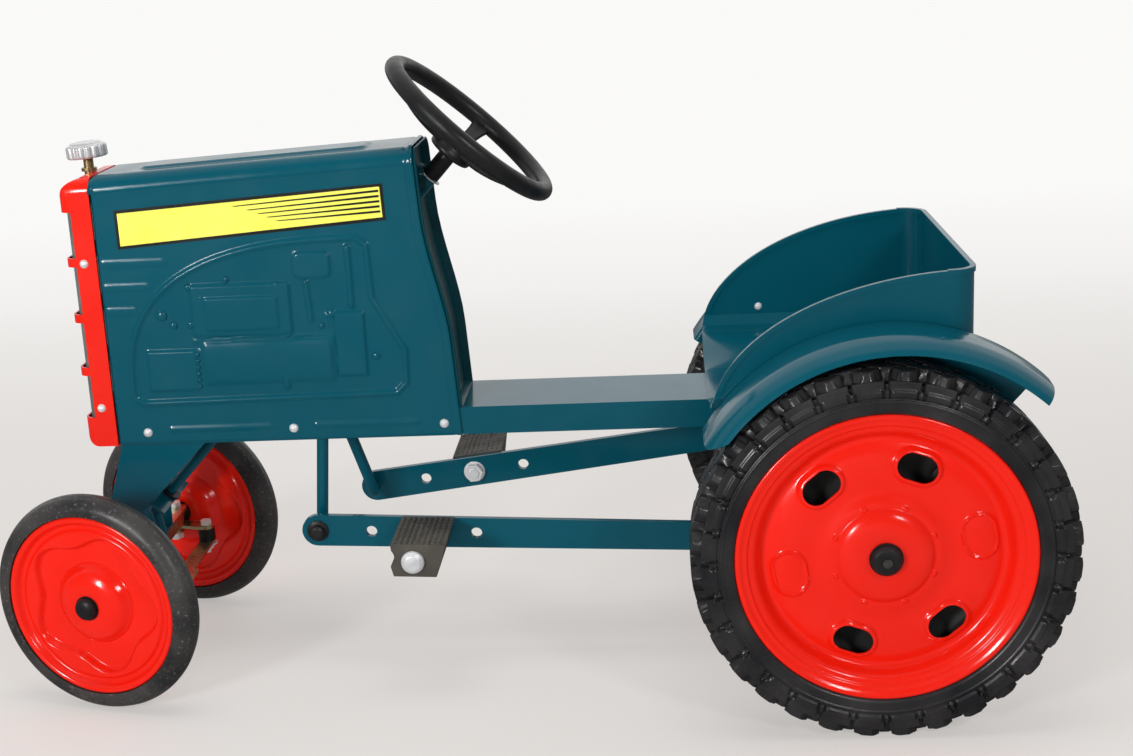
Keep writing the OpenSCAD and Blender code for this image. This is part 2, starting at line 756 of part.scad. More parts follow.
// One pressed half of a rear wheel, its face looking along +y and its ovals turned back by an angle
module rear_half(turn) difference() {
    union() {
        spun(strip([[rear_rim_r, 24], [rear_rim_r, 26.4], [122.4, 27.6], [119.5, 26.8], [117, 23],
            [108, 21.5], [104.5, 19.5], [101, 13], [97, 11.5], [60, 11.5], [56, 12.5], [44, 19],
            [40, 20.4], [24, 23.4], [19, 24], [10.2, 24]], sheet + 0.2));
        for (a = [0:5]) rotate([0, turn - 49.5 - 60 * a, 0]) translate([79, 0, 0]) rotate([-90, 0, 0])
            translate([0, 0, 11]) linear_extrude(2) rotate(90) difference() {
                slot(13, 15);
                slot(11, 12.2);
            }
        for (a = [22.5:45:359]) rotate([0, a, 0]) translate([43.6, 0, 0]) bar_along_y(2.4, 18, 20.8);
    }
    for (a = [0, 1, 3, 4]) rotate([0, turn - 49.5 - 60 * a, 0]) translate([79, 0, 0]) rotate([-90, 0, 0])
        linear_extrude(30) rotate(90) slot(10, 11.5);
}

module rear_disc(s) rear_wheel_place(s) {
    rear_half(0);
    mirror([0, 1, 0]) rear_half(30);
    difference() {
        bar_along_y(rear_rim_r, -25, 25);
        bar_along_y(rear_rim_r - sheet - 0.2, -26, 26);
    }
}

module rear_disc_left() from_axle() color(signal_red) rear_disc(LEFT);
module rear_disc_right() from_axle() color(signal_red) rear_disc(RIGHT);

// Ring of tread blocks between two radii, seen along the axle
module tread_ring(turn) rotate([-90, 0, 0]) linear_extrude(21) rotate(turn) difference() {
    circle(rear_tyre_r, $fn = 96);
    circle(rear_tyre_r - 6);
    for (i = [0:tread_blocks - 1]) rotate(i * 360 / tread_blocks)
        translate([rear_tyre_r - 4, -3]) square([10, 6]);
}

module rear_tyre(s) rear_wheel_place(s) {
    half = rear_tyre_half;
    bore = rear_rim_r + fit;
    spun([
        [bore, 2 - half], [bore + 3, -half], [145, -half], [151, 2.5 - half], [154.6, 7 - half],
        [154.6, half - 7], [151, half - 2.5], [145, half], [bore + 3, half], [bore, half - 2]
    ]);
    translate([0, 1, 0]) tread_ring(0);
    translate([0, -22, 0]) tread_ring(180 / tread_blocks);
}

module rear_tyre_left() from_axle() color(black) rear_tyre(LEFT);
module rear_tyre_right() from_axle() color(black) rear_tyre(RIGHT);

module rear_hub(s) rear_wheel_place(s) spun([
    [axle_r + fit, -26.6], [14, -26.6], [14, -24.2], [10, -24.2], [10, 24.2], [14, 24.2],
    [14, 26.6], [axle_r + fit, 26.6]
]);

module rear_hub_left() from_axle() color(black) rear_hub(LEFT);
module rear_hub_right() from_axle() color(black) rear_hub(RIGHT);

module pedal_bar(s) on_bar(s) between_y(bar_y[0], bar_y[1]) difference() {
    union() {
        polygon([[0, -13], [bar_length, -bar_h / 2], [bar_length, bar_h / 2], [0, 13]]);
        circle(13);
        translate([bar_length, 0]) circle(bar_h / 2);
    }
    circle(9);
    translate([bar_length, 0]) circle(hanger_r + fit);
    for (x = pedal_holes) translate([bar_length - x, 0]) circle(pedal_hole_r);
}

module pedal_bar_left() from_axle() color(paint) pedal_bar(LEFT);
module pedal_bar_right() from_axle() color(paint) pedal_bar(RIGHT);

module crank_bush(s) on_bar(s) spun([
    [axle_r + fit, 51], [9, 51], [9, 60], [11, 60], [11, 62.5], [axle_r + fit, 62.5]
]);

module crank_bush_left() from_axle() color(black) crank_bush(LEFT);
module crank_bush_right() from_axle() color(black) crank_bush(RIGHT);

// Bent rod: an eye round the cross rod, a straight leg, and a foot that passes out through the bar
module hanger(s) side(s) {
    foot = foot_of(s);
    lean = atan2(foot[0] - pivot[0], pivot[1] - foot[1]);
    translate([pivot[0], hanger_y, pivot[1]]) rotate([0, -lean, 0]) {
        difference() {
            union() {
                bar_along_y(10.3, -3, 3);
                translate([0, 0, -hanger_length]) cylinder(r = hanger_leg_r, h = hanger_length);
            }
            bar_along_y(7.3, -6, 6);
        }
        translate([0, 0, -hanger_length]) sphere(r = hanger_leg_r);
        translate([0, 0, -hanger_length]) bar_along_y(hanger_r, 0, 66 - hanger_y);
    }
}

module hanger_left() from_axle() color(paint) hanger(LEFT);
module hanger_right() from_axle() color(paint) hanger(RIGHT);

module hanger_rod() from_axle() color(zinc) translate([pivot[0], 0, pivot[1]])
    bar_along_y(3.15, -beam_w / 2, beam_w / 2);

module hanger_cap(s) side(s) translate([foot_of(s)[0], 0, foot_of(s)[1]]) spun([
    [0, 66.1], [hanger_r + fit, 66.1], [hanger_r + fit, 60.4], [10, 60.4], [10, 61.6],
    [6.6, 62.4], [6.4, 67.5], [4, 69], [0, 69]
]);

module hanger_cap_left() from_axle() color(black) hanger_cap(LEFT);
module hanger_cap_right() from_axle() color(black) hanger_cap(RIGHT);

// Block pedal, ribbed above and below, with a waisted front face
module pedal(s) on_bar(s) translate([bar_length - pedal_holes[1], 0, 0]) difference() {
    between_y(pedal_y[0], pedal_y[1]) difference() {
        polygon([[20, 16], [17.5, -14], [-21, -14], [-29, 16]]);
        translate([27, 3]) circle(10.5);
    }
    bar_along_y(5 + fit, 50, 150);
    for (y = [pedal_y[0] + 6:7.5:pedal_y[1] - 6]) translate([-40, y - 1.5, 0]) {
        translate([0, 0, 14.4]) cube([80, 3, 5]);
        translate([0, 0, -17.4]) cube([80, 3, 5]);
    }
}

module pedal_left() from_axle() color(black) pedal(LEFT);
module pedal_right() from_axle() color(black) pedal(RIGHT);

module pedal_bolt(s) on_bar(s) translate([bar_length - pedal_holes[1], 0, 0]) {
    spun([[0, 45], [5, 45], [5, 136.4], [10.6, 136.4], [10, 139], [7, 141.6], [0, 142.8]]);
    translate([0, 46.4, 0]) rotate([-90, 0, 0]) hex(16, 6.6);
    translate([0, 53, 0]) rotate([-90, 0, 0]) cylinder(r = 10.5, h = 1);
}

module pedal_bolt_left() from_axle() color(zinc) pedal_bolt(LEFT);
module pedal_bolt_right() from_axle() color(zinc) pedal_bolt(RIGHT);

// Plan of the seat tub: open to the front, with round rear corners
module seat_plan(inset, r) {
    half = seat_half - inset;
    x0 = seat_back_x + inset;
    translate([x0 + r, -half]) square([seat_front_x + 20 - x0 - r, 2 * half]);
    translate([x0, -half + r]) square([r + 1, 2 * (half - r)]);
    for (y = [-half + r, half - r]) translate([x0 + r, y]) circle(r);
}

module seat_side_outline() {
    polygon(concat([for (t = [0:4:88]) seat_edge(t)],
        [[seat_front_x, seat_curve_z], [seat_front_x, 230], [seat_back_x, 230]]));
}

// Across-the-seat section above the pan, raised by lift
module seat_section(lift, half) {
    polygon(concat([[half, 430], [-half, 430]],
        [for (i = [-24:24]) [half * i / 24, pan_z(seat_half * i / 24) + lift]]));
}

module seat_tub() from_axle() color(paint) {
    difference() {
        intersection() {
            translate([0, 0, 200]) linear_extrude(250) seat_plan(0, 22);
            along_y(2 * seat_half + 2) seat_side_outline();
            translate([seat_back_x - 2, 0, 0]) along_x(260) seat_section(0, seat_half);
        }
        intersection() {
            translate([0, 0, 200]) linear_extrude(260) seat_plan(seat_wall, 20);
            translate([seat_back_x - 2, 0, 0]) along_x(280) seat_section(seat_wall, seat_half - seat_wall);
        }
        for (s = [LEFT, RIGHT]) side(s) translate(fender_bolt) bar_along_y(2.1, 140, 170);
        for (x = seat_bolt_x, y = [-28, 28]) translate([x, y, beam_top]) cylinder(r = 3.1, h = 10);
    }
    for (s = [LEFT, RIGHT]) side(s) between_y(seat_half - 3.5, seat_half + 1.2)
        polygon(strip([for (t = [6:4:78]) seat_edge(t)], -4.5));
    translate([0, 0, seat_top - 4.5]) linear_extrude(4.5) difference() {
        intersection() {
            seat_plan(-1.2, 23);
            translate([seat_back_x - 5, -200]) square([30, 400]);
        }
        seat_plan(3.5, 19);
    }
    translate([seat_front_x - 3, 0, 0]) along_x(2.9) polygon(concat(
        [for (i = [-20:20]) [140 * i / 20, pan_z(140 * i / 20) + 1]],
        [for (i = [20:-1:-20]) [140 * i / 20, max(pan_z(140 * i / 20) - 11, beam_top + 0.2)]]
    ));
}

module fender(s) side(s) difference() {
    intersection() {
        translate([fender_c[0], 0, fender_c[1]]) spun(strip([
            [150, fender_in], [184.4, fender_in], [186.4, fender_in + 2.4], [187, 182], [186, 204],
            [183, 215], [178.4, 222.6], [173.8, fender_out]
        ], sheet));
        between_y(140, 240) translate(fender_c) polygon(concat([[0, 0]],
            [for (a = [fender_angles[0]:10:fender_angles[1]]) 260 * [cos(a), sin(a)]]));
        translate([0, 0, 150]) linear_extrude(220) {
            translate([-160, 150]) square([320, fender_out - 24 - 150]);
            translate([-137, 150]) square([260, 90]);
            for (x = [-137, 122]) translate([x, fender_out - 24]) circle(24);
        }
    }
    translate(fender_bolt) bar_along_y(2.1, 140, 170);
}

module fender_left() from_axle() color(paint) fender(LEFT);
module fender_right() from_axle() color(paint) fender(RIGHT);

// Bolts that hold the fenders to the tub and the tub to the beam
module seat_bolts() from_axle() color(zinc) {
    for (s = [LEFT, RIGHT]) side(s) translate(fender_bolt) {
        spun([[0, 150.6], [2.4, 150.9], [4, 153], [2, 153], [2, 155.1], [6, 155.1], [6, fender_in - 0.1],
            [2, fender_in - 0.1], [2, 162], [0, 162]]);
        translate([0, fender_in + 1.8, 0]) rotate([-90, 0, 0]) hex(7, 3.2);
    }
    for (x = seat_bolt_x, y = [-28, 28]) translate([x, y, 0]) {
        translate([0, 0, beam_top + 2.2]) cylinder(r = 6, h = 2.4);
        translate([0, 0, beam_top - 10]) cylinder(r = 3, h = 13);
        translate([0, 0, beam_top - 7]) hex(10, 5);
    }
}

chassis_beam();
front_pedestal();
front_axle();
chassis_bolts();
kingpins();
hood();
hood_screws();
grille_shell();
grille_mesh();
grille_screws();
cap_stem();
radiator_cap();
dash_panel();
column_tube();
column_washer();
lower_bush();
steering_wheel();
steering_sleeve();
steering_shaft();
knuckle_left();
knuckle_right();
track_rod();
track_rod_bushes();
track_rod_pins();
front_disc_left();
front_disc_right();
front_tyre_left();
front_tyre_right();
front_hub_left();
front_hub_right();
front_cap_left();
front_cap_right();
rear_carrier();
axle_bushes();
crank_axle();
axle_washers();
rear_caps();
rear_disc_left();
rear_disc_right();
rear_tyre_left();
rear_tyre_right();
rear_hub_left();
rear_hub_right();
pedal_bar_left();
pedal_bar_right();
crank_bush_left();
crank_bush_right();
hanger_left();
hanger_right();
hanger_rod();
hanger_cap_left();
hanger_cap_right();
pedal_left();
pedal_right();
pedal_bolt_left();
pedal_bolt_right();
seat_tub();
fender_left();
fender_right();
seat_bolts();
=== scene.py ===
# %% [markdown]
# # A pedal tractor in pressed steel
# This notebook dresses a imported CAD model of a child's pedal tractor. The CAD part fixes every size,
# place and joint. Blender adds what a press, a mould and a paint shop leave behind: rolled edges,
# embossed relief, tread, gloss and a little dust.

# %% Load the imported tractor
import json
import math

import bmesh
import bpy
from mathutils import Matrix, Vector

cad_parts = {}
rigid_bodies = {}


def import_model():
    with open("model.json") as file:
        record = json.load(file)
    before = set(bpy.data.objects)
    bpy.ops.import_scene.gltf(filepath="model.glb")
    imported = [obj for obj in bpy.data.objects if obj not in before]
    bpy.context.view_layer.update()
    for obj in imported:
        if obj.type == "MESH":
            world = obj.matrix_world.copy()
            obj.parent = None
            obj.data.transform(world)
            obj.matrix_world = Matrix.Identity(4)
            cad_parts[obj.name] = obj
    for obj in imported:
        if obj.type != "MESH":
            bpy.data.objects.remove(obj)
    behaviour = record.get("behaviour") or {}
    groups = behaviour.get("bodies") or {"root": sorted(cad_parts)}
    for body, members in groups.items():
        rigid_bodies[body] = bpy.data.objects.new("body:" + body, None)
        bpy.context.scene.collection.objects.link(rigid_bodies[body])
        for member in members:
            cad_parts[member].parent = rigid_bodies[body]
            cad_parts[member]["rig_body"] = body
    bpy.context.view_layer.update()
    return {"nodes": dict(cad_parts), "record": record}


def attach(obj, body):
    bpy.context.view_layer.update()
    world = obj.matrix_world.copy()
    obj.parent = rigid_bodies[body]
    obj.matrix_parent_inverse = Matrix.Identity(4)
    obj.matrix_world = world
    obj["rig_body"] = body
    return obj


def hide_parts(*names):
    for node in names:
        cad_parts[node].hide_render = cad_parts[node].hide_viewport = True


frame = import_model()
nodes = frame["nodes"]
slot_of = {part["node"]: part["material_slot"] for part in frame["record"]["subparts"]}
body_of = {name: node["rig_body"] for name, node in nodes.items()}

# %% [markdown]
# ## One way to say where things are
# A tractor is drawn from its rear axle: x forwards, y to the driver's left and z up from the ground.
# Pieces here are given in millimetres from the point on the ground below that axle, as on a drawing,
# and one function turns such a point into the frame's metres.

# %% Millimetres from the rear axle
MM = 0.001
AXLE_TO_ORIGIN = 316.8


def at(x, y, z):
    return Vector((x - AXLE_TO_ORIGIN, y, z)) * MM


def smooth(t):
    t = min(max(t, 0.0), 1.0)
    return t * t * (3 - 2 * t)


print("rear axle at", at(0, 0, 160))

# %% [markdown]
# ## Camera
# The photograph was taken from the tractor's left, a little above the seat. A camera has a place, a
# direction and a small roll about that direction, so the three are given one by one.

# %% Camera at the photograph's viewpoint
LENS = 54.37
EYE = at(172.2, 1548.2, 677.3)
CAMERA_ROLL = math.radians(-2.82)
camera_data = bpy.data.cameras.new("photo_camera")
camera_data.sensor_width = 36
camera_data.lens = LENS
camera = bpy.data.objects.new("photo_camera", camera_data)
bpy.context.scene.collection.objects.link(camera)
view_line = Vector((0.06002, -0.96417, -0.25840))
camera_roll = Matrix.Rotation(CAMERA_ROLL, 4, "Z")
camera_turn = view_line.to_track_quat("-Z", "Y").to_matrix().to_4x4()
camera.matrix_world = Matrix.Translation(EYE) @ camera_turn @ camera_roll
bpy.context.scene.camera = camera
print("camera", camera.matrix_world.translation)

# %% [markdown]
# ## Node helpers
# Every finish below is a small graph of nodes: a pattern in Object coordinates, so that it stays on
# the piece, a ramp or a range that turns the pattern into colour or roughness, and a bump. Writing
# the few repeated steps once keeps each finish short enough to read.

# %% Helpers for finishes


class Finish:
    def __init__(self, name):
        self.material = bpy.data.materials.new(name)
        self.material.use_nodes = True
        self.tree = self.material.node_tree
        self.shader = self.tree.nodes["Principled BSDF"]
        self.place = self.tree.nodes.new("ShaderNodeTexCoord").outputs["Object"]

    def noise(self, scale, detail=3.0, stretch=(1, 1, 1)):
        mapping = self.tree.nodes.new("ShaderNodeMapping")
        mapping.inputs["Scale"].default_value = stretch
        self.tree.links.new(self.place, mapping.inputs["Vector"])
        texture = self.tree.nodes.new("ShaderNodeTexNoise")
        texture.inputs["Scale"].default_value = scale
        texture.inputs["Detail"].default_value = detail
        self.tree.links.new(mapping.outputs["Vector"], texture.inputs["Vector"])
        return texture.outputs["Fac"]

    def ramp(self, value, *stops):
        node = self.tree.nodes.new("ShaderNodeValToRGB")
        while len(node.color_ramp.elements) < len(stops):
            node.color_ramp.elements.new(0.5)
        for element, (position, colour) in zip(node.color_ramp.elements, stops):
            element.position = position
            element.color = (*colour, 1)
        self.tree.links.new(value, node.inputs["Fac"])
        return node.outputs["Color"]

    def spread(self, value, low, high, start=0.3, end=0.7):
        node = self.tree.nodes.new("ShaderNodeMapRange")
        for name, number in (("From Min", start), ("From Max", end), ("To Min", low), ("To Max", high)):
            node.inputs[name].default_value = number
        self.tree.links.new(value, node.inputs["Value"])
        return node.outputs["Result"]

    def mix(self, share, first, second):
        node = self.tree.nodes.new("ShaderNodeMix")
        node.data_type = "RGBA"
        self.tree.links.new(share, node.inputs["Factor"])
        for socket, colour in zip((node.inputs[6], node.inputs[7]), (first, second)):
            if isinstance(colour, tuple):
                socket.default_value = (*colour, 1)
            else:
                self.tree.links.new(colour, socket)
        return node.outputs[2]

    def bump(self, height, strength, distance):
        node = self.tree.nodes.new("ShaderNodeBump")
        node.inputs["Strength"].default_value = strength
        node.inputs["Distance"].default_value = distance
        self.tree.links.new(height, node.inputs["Height"])
        shader_normal = self.shader.inputs["Normal"]
        if shader_normal.is_linked:
            self.tree.links.new(shader_normal.links[0].from_socket, node.inputs["Normal"])
        self.tree.links.new(node.outputs["Normal"], shader_normal)

    def set(self, **values):
        for name, value in values.items():
            socket = self.shader.inputs[name.replace("_", " ")]
            if isinstance(value, bpy.types.NodeSocket):
                self.tree.links.new(value, socket)
            else:
                socket.default_value = value


def tone(colour, factor):
    return tuple(min(channel * factor, 1) for channel in colour)


print("finish helpers ready")

# %% [markdown]
# ## Enamel
# The body and the wheel discs are stoved enamel on bare steel: deep, even colour, a hard gloss, and
# the faint ripple that painters call orange peel. A second, slower noise lifts the colour a little
# and another takes the gloss down in patches, as handling and dust do. A clear coat gives the
# sharp highlight over the softer one.

# %% Enamel finishes


def enamel(name, colour, dust, rough=(0.13, 0.24), shine=0.34, coat=0.16):
    finish = Finish(name)
    patches = finish.noise(6, 3)
    body = finish.ramp(patches, (0.3, tone(colour, 0.95)), (0.7, tone(colour, 1.05)))
    film = finish.spread(finish.noise(46, 6), 0.0, 0.012, 0.52, 0.80)
    finish.set(
        Base_Color=finish.mix(film, body, dust),
        Roughness=finish.spread(finish.noise(24, 5), rough[0], rough[1]),
        Specular_IOR_Level=shine,
        Coat_Weight=coat,
        Coat_Roughness=0.03,
    )
    finish.bump(finish.noise(900, 2), 0.04, 0.0003)
    finish.bump(finish.noise(60, 2), 0.05, 0.0008)
    return finish.material


TEAL = (0.0013, 0.080, 0.118)
RED = (0.84, 0.013, 0.004)
DUST = (0.26, 0.25, 0.22)
teal_enamel = enamel("teal_enamel", TEAL, DUST, shine=0.27, coat=0.13)
red_enamel = enamel("red_enamel", RED, DUST)
# Near-black finish for the discs' inner faces: partly the bare sheet, partly painted shade for the
# inside of the wheel.
bare_steel_and_shade = enamel("bare_steel_and_shade", (0.022, 0.021, 0.020), DUST, (0.5, 0.7))
# A darker copy of the teal for the dash: painted shade for the sheet recessed behind the column.
dash_teal_painted_shade = enamel("dash_teal_painted_shade", (0.0012, 0.046, 0.060), DUST, (0.22, 0.36), 0.14, 0.05)
print("enamels ready")

# %% [markdown]
# ## Rubber and moulded plastic
# Tyres are matt and pick up grey dust in patches, so their colour swings between near black and a
# warm grey. Moulded plastic is a little shinier and has the fine sparked texture of its tool.

# %% Black finishes


def rubber(name, dark, grey, dusty, shine=(0.46, 0.7), grit=0.0):
    finish = Finish(name)
    patches = finish.ramp(finish.noise(18, 7), (0.35, dark), (dusty, grey))
    specks = finish.spread(finish.noise(380, 2), 0.0, grit, 0.60, 0.72)
    finish.set(
        Base_Color=finish.mix(specks, patches, tone(grey, 3.2)),
        Roughness=finish.spread(finish.noise(60, 4), shine[0], shine[1]),
        Specular_IOR_Level=0.42,
    )
    finish.bump(finish.noise(700, 3), 0.12, 0.0004)
    return finish.material


def moulded(name, dark, grey, rough=(0.34, 0.52)):
    finish = Finish(name)
    finish.set(
        Base_Color=finish.ramp(finish.noise(30, 5), (0.35, dark), (0.75, grey)),
        Roughness=finish.spread(finish.noise(90, 3), rough[0], rough[1]),
        Specular_IOR_Level=0.32,
    )
    finish.bump(finish.noise(1600, 2), 0.05, 0.0003)
    return finish.material


rear_rubber = rubber("rear_tyre_rubber", (0.010, 0.010, 0.012), (0.036, 0.034, 0.035), 0.74, (0.2, 0.42))
front_rubber = rubber(
    "front_tyre_rubber", (0.016, 0.016, 0.017), (0.060, 0.056, 0.054), 0.72, (0.26, 0.5), 0.5
)
black_plastic = moulded("black_plastic", (0.008, 0.008, 0.009), (0.018, 0.017, 0.018), (0.3, 0.46))
pedal_rubber = rubber("pedal_rubber", (0.030, 0.028, 0.025), (0.085, 0.076, 0.062), 0.68)
black_print = moulded("black_print", (0.009, 0.009, 0.008), (0.016, 0.015, 0.014), (0.28, 0.4))
yellow_print = moulded("yellow_print", (0.90, 0.88, 0.10), (0.96, 0.94, 0.15), (0.3, 0.42))
print("black finishes ready")

# %% [markdown]
# ## Plated steel
# Screws, bolts and rods are zinc plated, and the front axle parts have the yellow passivated kind,
# whose film shifts between straw and green. Metals get their look from colour and roughness. Bright
# zinc is milky rather than a clean mirror, so it is only partly metallic.

# %% Plated finishes


def plated(name, colour, shade, rough=(0.24, 0.42), metal=1.0):
    finish = Finish(name)
    finish.set(
        Base_Color=finish.ramp(finish.noise(85, 4), (0.3, shade), (0.7, colour)),
        Metallic=metal,
        Roughness=finish.spread(finish.noise(300, 3), rough[0], rough[1]),
    )
    finish.bump(finish.noise(1200, 2), 0.06, 0.0002)
    return finish.material


bright_zinc = plated("bright_zinc", (0.90, 0.91, 0.92), (0.74, 0.75, 0.77), (0.34, 0.52), 0.45)
yellow_zinc = plated("yellow_zinc", (0.74, 0.66, 0.34), (0.50, 0.47, 0.32))
dull_brass = plated("dull_brass", (0.55, 0.42, 0.20), (0.30, 0.23, 0.13), (0.3, 0.5))
dull_steel = plated("dull_steel", (0.26, 0.25, 0.24), (0.09, 0.09, 0.09), (0.3, 0.55))
print("plated finishes ready")

# %% [markdown]
# ## Silvered plastic and mesh
# The radiator cap is plastic with a vacuum-deposited silver, clear and a little milky. The insert
# behind the grille bars is grey painted steel.

# %% Cap and mesh finishes
silver_plastic = plated("silver_plastic", (0.86, 0.86, 0.87), (0.70, 0.70, 0.72), (0.26, 0.42), 0.62)
mesh_grey = moulded("mesh_grey", (0.11, 0.125, 0.115), (0.20, 0.215, 0.205), (0.3, 0.5))
finish_of_slot = {
    "paint_teal": teal_enamel,
    "paint_red": red_enamel,
    "zinc": bright_zinc,
    "yellow_zinc": yellow_zinc,
    "tyre_black": rear_rubber,
    "plastic_black": black_plastic,
    "silver_plastic": silver_plastic,
    "brass": dull_brass,
    "mesh_grey": mesh_grey,
}
for node_name, node in nodes.items():
    node.data.materials.clear()
    finish = dull_steel if node_name == "crank_axle" else finish_of_slot[slot_of[node_name]]
    node.data.materials.append(finish)
print("finishes on", len(nodes), "CAD nodes")

# %% [markdown]
# ## From a bmesh to a piece
# Each piece ends the same way: normals outwards, smooth shading with creases kept sharp, a
# material, and a ride on the body that carries it. A piece that stands for a CAD node takes that
# node's body and hides the node. A sheet that is painted on one side only may name a second finish
# for the faces that look the given way across the tractor.

# %% Finish a piece


def new_piece(bm, name, finish, like, stands_for=(), crease=38, inner_finish=None, inner_way=0):
    bmesh.ops.recalc_face_normals(bm, faces=bm.faces)
    limit = math.radians(crease)
    for edge in bm.edges:
        edge.smooth = len(edge.link_faces) == 2 and edge.calc_face_angle(0.0) < limit
    for face in bm.faces:
        face.smooth = True
        if inner_finish and face.normal.y * inner_way > 0.05:
            face.material_index = 1
    mesh = bpy.data.meshes.new(name)
    bm.to_mesh(mesh)
    bm.free()
    mesh.materials.append(finish)
    if inner_finish:
        mesh.materials.append(inner_finish)
    piece = bpy.data.objects.new(name, mesh)
    bpy.context.scene.collection.objects.link(piece)
    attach(piece, body_of[like])
    if stands_for:
        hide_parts(*stands_for)
    print(name, len(mesh.vertices), "vertices")
    return piece


# %% [markdown]
# ## Softened edges
# No edge of a pressed or machined part is a perfect corner, and the light that a tiny round catches
# is much of what makes metal look like metal. A copy of a CAD node has its loose triangles merged
# and flat faces joined, and then its sharp edges take a small bevel. Normals weighted by area keep
# the wide faces flat beside their narrow rounds.

# %% Softened copies of CAD nodes


WELD = 0.004 * MM
FLAT = math.radians(0.4)


def softened(node_name, finish=None, width=0.5, steps=2, sharper_than=30):
    bm = bmesh.new()
    bm.from_mesh(nodes[node_name].data)
    bmesh.ops.remove_doubles(bm, verts=bm.verts, dist=WELD)
    bmesh.ops.dissolve_limit(bm, angle_limit=FLAT, verts=bm.verts, edges=bm.edges)
    limit = math.radians(sharper_than)
    edges = [edge for edge in bm.edges if edge.is_manifold and edge.calc_face_angle(0.0) > limit]
    bmesh.ops.bevel(
        bm, geom=edges, offset=width * MM, offset_type="OFFSET", segments=steps, profile=0.5,
        affect="EDGES", material=-1, clamp_overlap=True,
    )
    finish = finish or finish_of_slot[slot_of[node_name]]
    piece = new_piece(bm, node_name + "_soft", finish, node_name, (node_name,))
    flatter = piece.modifiers.new("flatter", "WEIGHTED_NORMAL")
    flatter.keep_sharp = True
    flatter.weight = 80
    return piece


soft_edges = {
    "chassis_beam": 0.8, "front_pedestal": 0.6, "front_axle": 0.6, "rear_carrier": 0.8,
    "grille_shell": 0.8, "seat_tub": 1.4, "pedal_bar_left": 0.7, "pedal_bar_right": 0.7,
    "knuckle_left": 0.5, "knuckle_right": 0.5, "track_rod": 0.5, "chassis_bolts": 0.4,
    "kingpins": 0.4, "seat_bolts": 0.3, "track_rod_pins": 0.4, "pedal_bolt_left": 0.5,
    "pedal_bolt_right": 0.5, "column_washer": 0.2, "cap_stem": 0.3,
    "rear_caps": 0.4, "front_cap_left": 0.4, "front_cap_right": 0.4,
    "hanger_cap_left": 0.4, "hanger_cap_right": 0.4, "column_tube": 0.4, "steering_sleeve": 0.4,
    "lower_bush": 0.4, "grille_mesh": 0.2,
}
for node_name, width in soft_edges.items():
    softened(node_name, width=width)

# %% [markdown]
# ## Dash
# The sheet that closes the hood behind the steering column is pressed in, so a narrow rim stands
# round it and round the column. The rear faces of the CAD sheet are inset and pushed forwards, and
# then they get their thickness back.

# %% Dash
DASH_RIM = 3.2 * MM
DASH_DEPTH = -7 * MM
DASH_SHEET = 1.2 * MM
dash = bmesh.new()
dash.from_mesh(nodes["dash_panel"].data)
bmesh.ops.remove_doubles(dash, verts=dash.verts, dist=WELD)
not_rear = [face for face in dash.faces if face.normal.x > -0.9]
bmesh.ops.delete(dash, geom=not_rear, context="FACES")
bmesh.ops.dissolve_limit(dash, angle_limit=FLAT, verts=dash.verts, edges=dash.edges)
bmesh.ops.inset_region(
    dash, faces=dash.faces[:], thickness=DASH_RIM, depth=DASH_DEPTH,
    use_boundary=True, use_even_offset=False,
)
bmesh.ops.solidify(dash, geom=dash.faces[:], thickness=DASH_SHEET)
# The pressed dash takes the darker teal, a painted shade for its recess.
new_piece(dash, "dash_pressed", dash_teal_painted_shade, "dash_panel", ("dash_panel",))

# %% [markdown]
# ## Lines, turned shapes and wheel places
# A wheel disc, a tyre, a fender and a knob are all turned shapes: a line of radius-and-width points
# swept round an axle. Spin does the sweep. A helper rounds the corners of such a line first, because
# a press leaves no sharp bend, and another gives each wheel its place on its stub or axle.

# %% Turning helpers


def rounded_line(points, radius, steps=4):
    line = [Vector(points[0])]
    for before, corner, after in zip(points, points[1:], points[2:]):
        corner = Vector(corner)
        back = Vector(before) - corner
        ahead = Vector(after) - corner
        reach = min(radius, back.length * 0.45, ahead.length * 0.45)
        start = corner + back.normalized() * reach
        end = corner + ahead.normalized() * reach
        for step in range(steps + 1):
            t = step / steps
            line.append(start.lerp(corner, t).lerp(corner.lerp(end, t), t))
    line.append(Vector(points[-1]))
    return line


def even_line(points, gap):
    line = [Vector(points[0])]
    for start, end in zip(points, points[1:]):
        count = max(1, round((Vector(end) - Vector(start)).length / gap))
        line.extend(Vector(start).lerp(Vector(end), step / count) for step in range(1, count + 1))
    return line


def turned(line, steps, closed=False, sweep=2 * math.pi):
    bm = bmesh.new()
    verts = [bm.verts.new((radius, width, 0)) for radius, width in line]
    edges = [bm.edges.new(pair) for pair in zip(verts, verts[1:])]
    if closed:
        edges.append(bm.edges.new((verts[-1], verts[0])))
    whole = sweep > 6.28
    bmesh.ops.spin(
        bm, geom=verts + edges, cent=(0, 0, 0), axis=(0, -1, 0), angle=sweep, steps=steps,
        use_merge=whole, use_duplicate=False,
    )
    bmesh.ops.remove_doubles(bm, verts=bm.verts, dist=0.001)
    return bm


WHEELBASE = 687
REAR_MIDDLE = (199.5, 160)
KINGPIN_Y = 100
FRONT_MIDDLE = (29, 102)
STEER = math.radians(16)
SIDES = {"left": 1, "right": -1}


def wheel_place(axle, side):
    mirror = Matrix.Diagonal((1, side, 1, 1))
    if axle == "rear":
        return Matrix.Translation((0, side * REAR_MIDDLE[0], REAR_MIDDLE[1])) @ mirror
    kingpin = Matrix.Translation((WHEELBASE, side * KINGPIN_Y, 0))
    steer = Matrix.Rotation(-STEER, 4, "Z")
    return kingpin @ steer @ mirror @ Matrix.Translation((0, *FRONT_MIDDLE))


def put(bm, place):
    to_frame = Matrix.Scale(MM, 4) @ Matrix.Translation((-AXLE_TO_ORIGIN, 0, 0))
    bmesh.ops.transform(bm, matrix=to_frame @ place, verts=bm.verts)


print("turning helpers ready")

